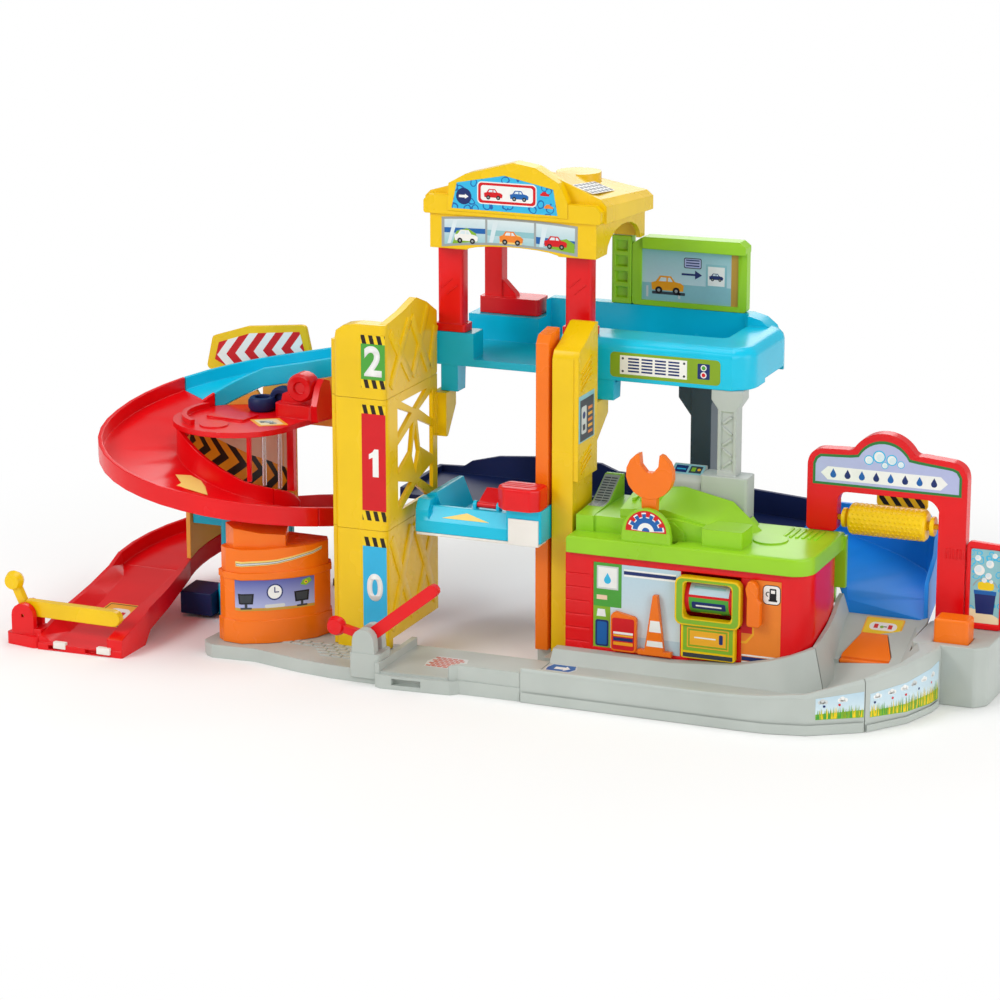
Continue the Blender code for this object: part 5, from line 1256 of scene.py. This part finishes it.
def buildRoadLabels():
    for name, nodeName, key, seed in (("road_meadow_label", "base_road", "meadow", 3),
                                      ("ramp_meadow_label", "wash_ramp", "rampMeadow", 5)):
        path = roads[key][0]
        bentLabel(name, nodeName, path, (0, 0, 1), meadowLayers(*roads[key], seed))

    # Foot of the road and of the ramp, a little proud of their flanks
    for name, nodeName, path, top in (("road_foot", "base_road", roads["foot"], 9),
                                      ("ramp_foot", "wash_ramp", roads["rampFoot"], 6.4)):
        sill = rectangle(0, 0.3, pathLength(path), top)
        bentLabel(name, nodeName, path, (0, 0, 1), [(plastics["light_grey"], sill, roads["footLevel"])])

    # Brick pattern on the road stub by the lift, and an arrow on the road
    wide, tall = roads["brickSize"]
    pitchU, pitchV = roads["brickPitch"]
    layers = [("paleGrey", [(-15, -14), (14, -14), (18, 0), (14, 15), (-13, 15), (-18, 0)], 0)]
    for row in range(7):
        for column in range(6):
            left = -14.5 + column * pitchU + (pitchU / 2 if row % 2 else 0)
            low = -13 + row * pitchV
            if left + wide < 15:
                layers.append(("brick", rectangle(left, low, left + wide, low + tall), 1))
    place = (*roads["bricks"], roads["floor"])
    flatLabel("road_brick_label", "base_left", place, (1, 0, 0), (0, 1, 0), layers)
    layers = [("paleGrey", [(-13, -9), (10, -9), (14, 0), (11, 10), (-11, 10), (-14, 0)], 0),
              ("blue", [(-11.6, -7.6), (9, -7.6), (12.4, 0), (10, 8.6), (-10, 8.6), (-12.6, 0)], 1),
              ("white", [(-6, -3), (3, -3), (3, -6), (8, 0), (3, 6), (3, 3), (-6, 3)], 2)]
    place = (*roads["arrow"], roads["floor"])
    flatLabel("road_arrow_label", "base_road", place, (1, 0, 0), (0, 1, 0), layers)

    # Notice on the exit ramp
    layers = [("amber", [(-19, -20), (15, -20), (19, 0), (17, 21), (-15, 21), (-19, 0)], 0),
              ("coffee", [(-17.6, -18.6), (13.8, -18.6), (17.6, 0), (15.8, 19.6), (-13.8, 19.6),
                          (-17.6, 0)], 1),
              ("amber", [(-16.4, -17.4), (12.9, -17.4), (16.4, 0), (14.7, 18.4), (-12.9, 18.4),
                         (-16.4, 0)], 2),
              ("white", softRectangle(-10, -8, 12, 12, 7), 3), ("red", rectangle(-5, -2, -1, 6), 4),
              ("red", rectangle(4, -2, 8, 6), 4), ("leaf", disc(1.5, 2, 1.8, 12), 4)]
    flatLabel("exit_label", "exit_ramp", roads["exit"], (1, 0, 0), (0, 1, roads["exitSlope"]), layers)


def buildRoadRelief():
    # Cream clips in the front of the exit ramp
    bm = bmesh.new()
    for left, right in roads["clips"]:
        gridBlock(bm, left, right, *roads["clipBox"])
    roundEdges(bm, bm.edges, roads["clipEdge"])
    reliefPiece("exit_clips", "exit_ramp", bm, "cream")

    # Cobbles moulded in the left of the base, clear of its slanting corner and of the tower
    bm = bmesh.new()
    wide, deep = roads["cobbleSize"]
    pitchX, pitchY = roads["cobblePitch"]
    for row in range(6):
        for column in range(9):
            x = roads["cobbleLeft"] + column * pitchX + (pitchX / 2 if row % 2 else 0)
            y = roads["cobbleFront"] + row * pitchY
            corner = row < 3 and x < -150 and y < -0.55 * (x - roads["cobbleLeft"]) - 30
            tower = x > -150 and y > -34
            inside = roads["cobbleLeft"] < x < roads["cobbleRight"] and y < roads["cobbleBack"]
            if inside and not corner and not tower:
                gridBlock(bm, x, x + wide, y, y + deep, *roads["cobbleBox"])
    roundEdges(bm, bm.edges, roads["cobbleEdge"])
    reliefPiece("base_cobbles", "base_left", bm)


buildRoadLabels()
buildRoadRelief()
print("roads labelled")


# Floor, light and camera

studio = {
    "floorSize": 30.0, "floorColour": "#FAFAF9",
    "fade": (0.40, 0.80),       # m from the middle, where the paper turns to plain white
    "roomLight": 0.53, "backdrop": 1.0, "aim": (0.0, 0.0, 0.15),
    # place, watts and width of each softbox
    "lamps": (("key softbox", (-1.5, -1.9, 1.7), 32.0, 1.1), ("fill softbox", (1.9, -1.5, 0.9), 12.0, 1.1),
              ("top softbox", (0.2, 0.3, 2.3), 18.0, 1.6), ("back softbox", (-0.6, 2.2, 1.3), 12.0, 1.4),
              ("side softbox", (2.4, -0.1, 0.5), 10.0, 1.1)),
}
view = {"azimuth": 22.3, "elevation": 15.1, "distance": 2.916, "target": (0.008758, -0.04828, 0.150),
        "lens": 122.83, "sensor": 36.0}


# 1 where the eye looks straight or through clear plastic, so that the white backing lights nothing
def seenRays(tree):
    rays = addNode(tree, "ShaderNodeLightPath")
    return addNode(tree, "ShaderNodeMath", {"operation": "MAXIMUM"},
                   {0: rays.outputs["Is Camera Ray"], 1: rays.outputs["Is Transmission Ray"]}).outputs[0]


def buildFloor():
    bm = bmesh.new()
    bmesh.ops.create_grid(bm, x_segments=1, y_segments=1, size=studio["floorSize"])
    mesh = bpy.data.meshes.new("floor")
    bm.to_mesh(mesh)
    bm.free()
    floor = bpy.data.objects.new("floor", mesh)
    bpy.context.scene.collection.objects.link(floor)
    material, tree = emptyMaterial("pale paper floor")
    place = addNode(tree, "ShaderNodeTexCoord").outputs["Object"]
    distance = addNode(tree, "ShaderNodeVectorMath", {"operation": "LENGTH"}, {0: place})
    near, far = studio["fade"]
    fade = addNode(tree, "ShaderNodeMapRange",
                   {"interpolation_type": "SMOOTHSTEP", "From Min": near, "From Max": far},
                   {"Value": distance.outputs["Value"]})
    share = addNode(tree, "ShaderNodeMath", {"operation": "MULTIPLY"},
                    {0: fade.outputs["Result"], 1: seenRays(tree)})
    paper = addNode(tree, "ShaderNodeBsdfDiffuse", {"Color": linearColour(studio["floorColour"])})
    white = addNode(tree, "ShaderNodeEmission", {"Strength": studio["backdrop"]})
    mix = addNode(tree, "ShaderNodeMixShader", None,
                  {0: share.outputs[0], 1: paper.outputs[0], 2: white.outputs[0]})
    addNode(tree, "ShaderNodeOutputMaterial", None, {"Surface": mix.outputs[0]})
    floor.data.materials.append(material)


def buildLight():
    world = bpy.data.worlds.new("soft white room")
    bpy.context.scene.world = world
    world.use_nodes = True
    tree = world.node_tree
    tree.nodes.clear()
    room = addNode(tree, "ShaderNodeBackground", {"Strength": studio["roomLight"]})
    backdrop = addNode(tree, "ShaderNodeBackground", {"Strength": studio["backdrop"]})
    mix = addNode(tree, "ShaderNodeMixShader", None,
                  {0: seenRays(tree), 1: room.outputs[0], 2: backdrop.outputs[0]})
    addNode(tree, "ShaderNodeOutputWorld", None, {"Surface": mix.outputs[0]})

    for name, spot, power, size in studio["lamps"]:
        lamp = bpy.data.lights.new(name, "AREA")
        lamp.energy = power
        lamp.size = size
        holder = bpy.data.objects.new(name, lamp)
        holder.location = spot
        towards = Vector(studio["aim"]) - Vector(spot)
        holder.rotation_euler = towards.to_track_quat("-Z", "Y").to_euler()
        bpy.context.scene.collection.objects.link(holder)


def buildCamera():
    azimuth = math.radians(view["azimuth"])
    elevation = math.radians(view["elevation"])
    back = Vector((math.sin(azimuth) * math.cos(elevation), -math.cos(azimuth) * math.cos(elevation),
                   math.sin(elevation)))
    lens = bpy.data.cameras.new("product camera")
    lens.lens = view["lens"]
    lens.sensor_width = view["sensor"]
    holder = bpy.data.objects.new("product camera", lens)
    holder.location = Vector(view["target"]) + back * view["distance"]
    holder.rotation_euler = (-back).to_track_quat("-Z", "Y").to_euler()
    bpy.context.scene.collection.objects.link(holder)
    bpy.context.scene.camera = holder


buildFloor()
buildLight()
buildCamera()
bpy.context.scene.view_settings.view_transform = "Standard"
print("studio ready")
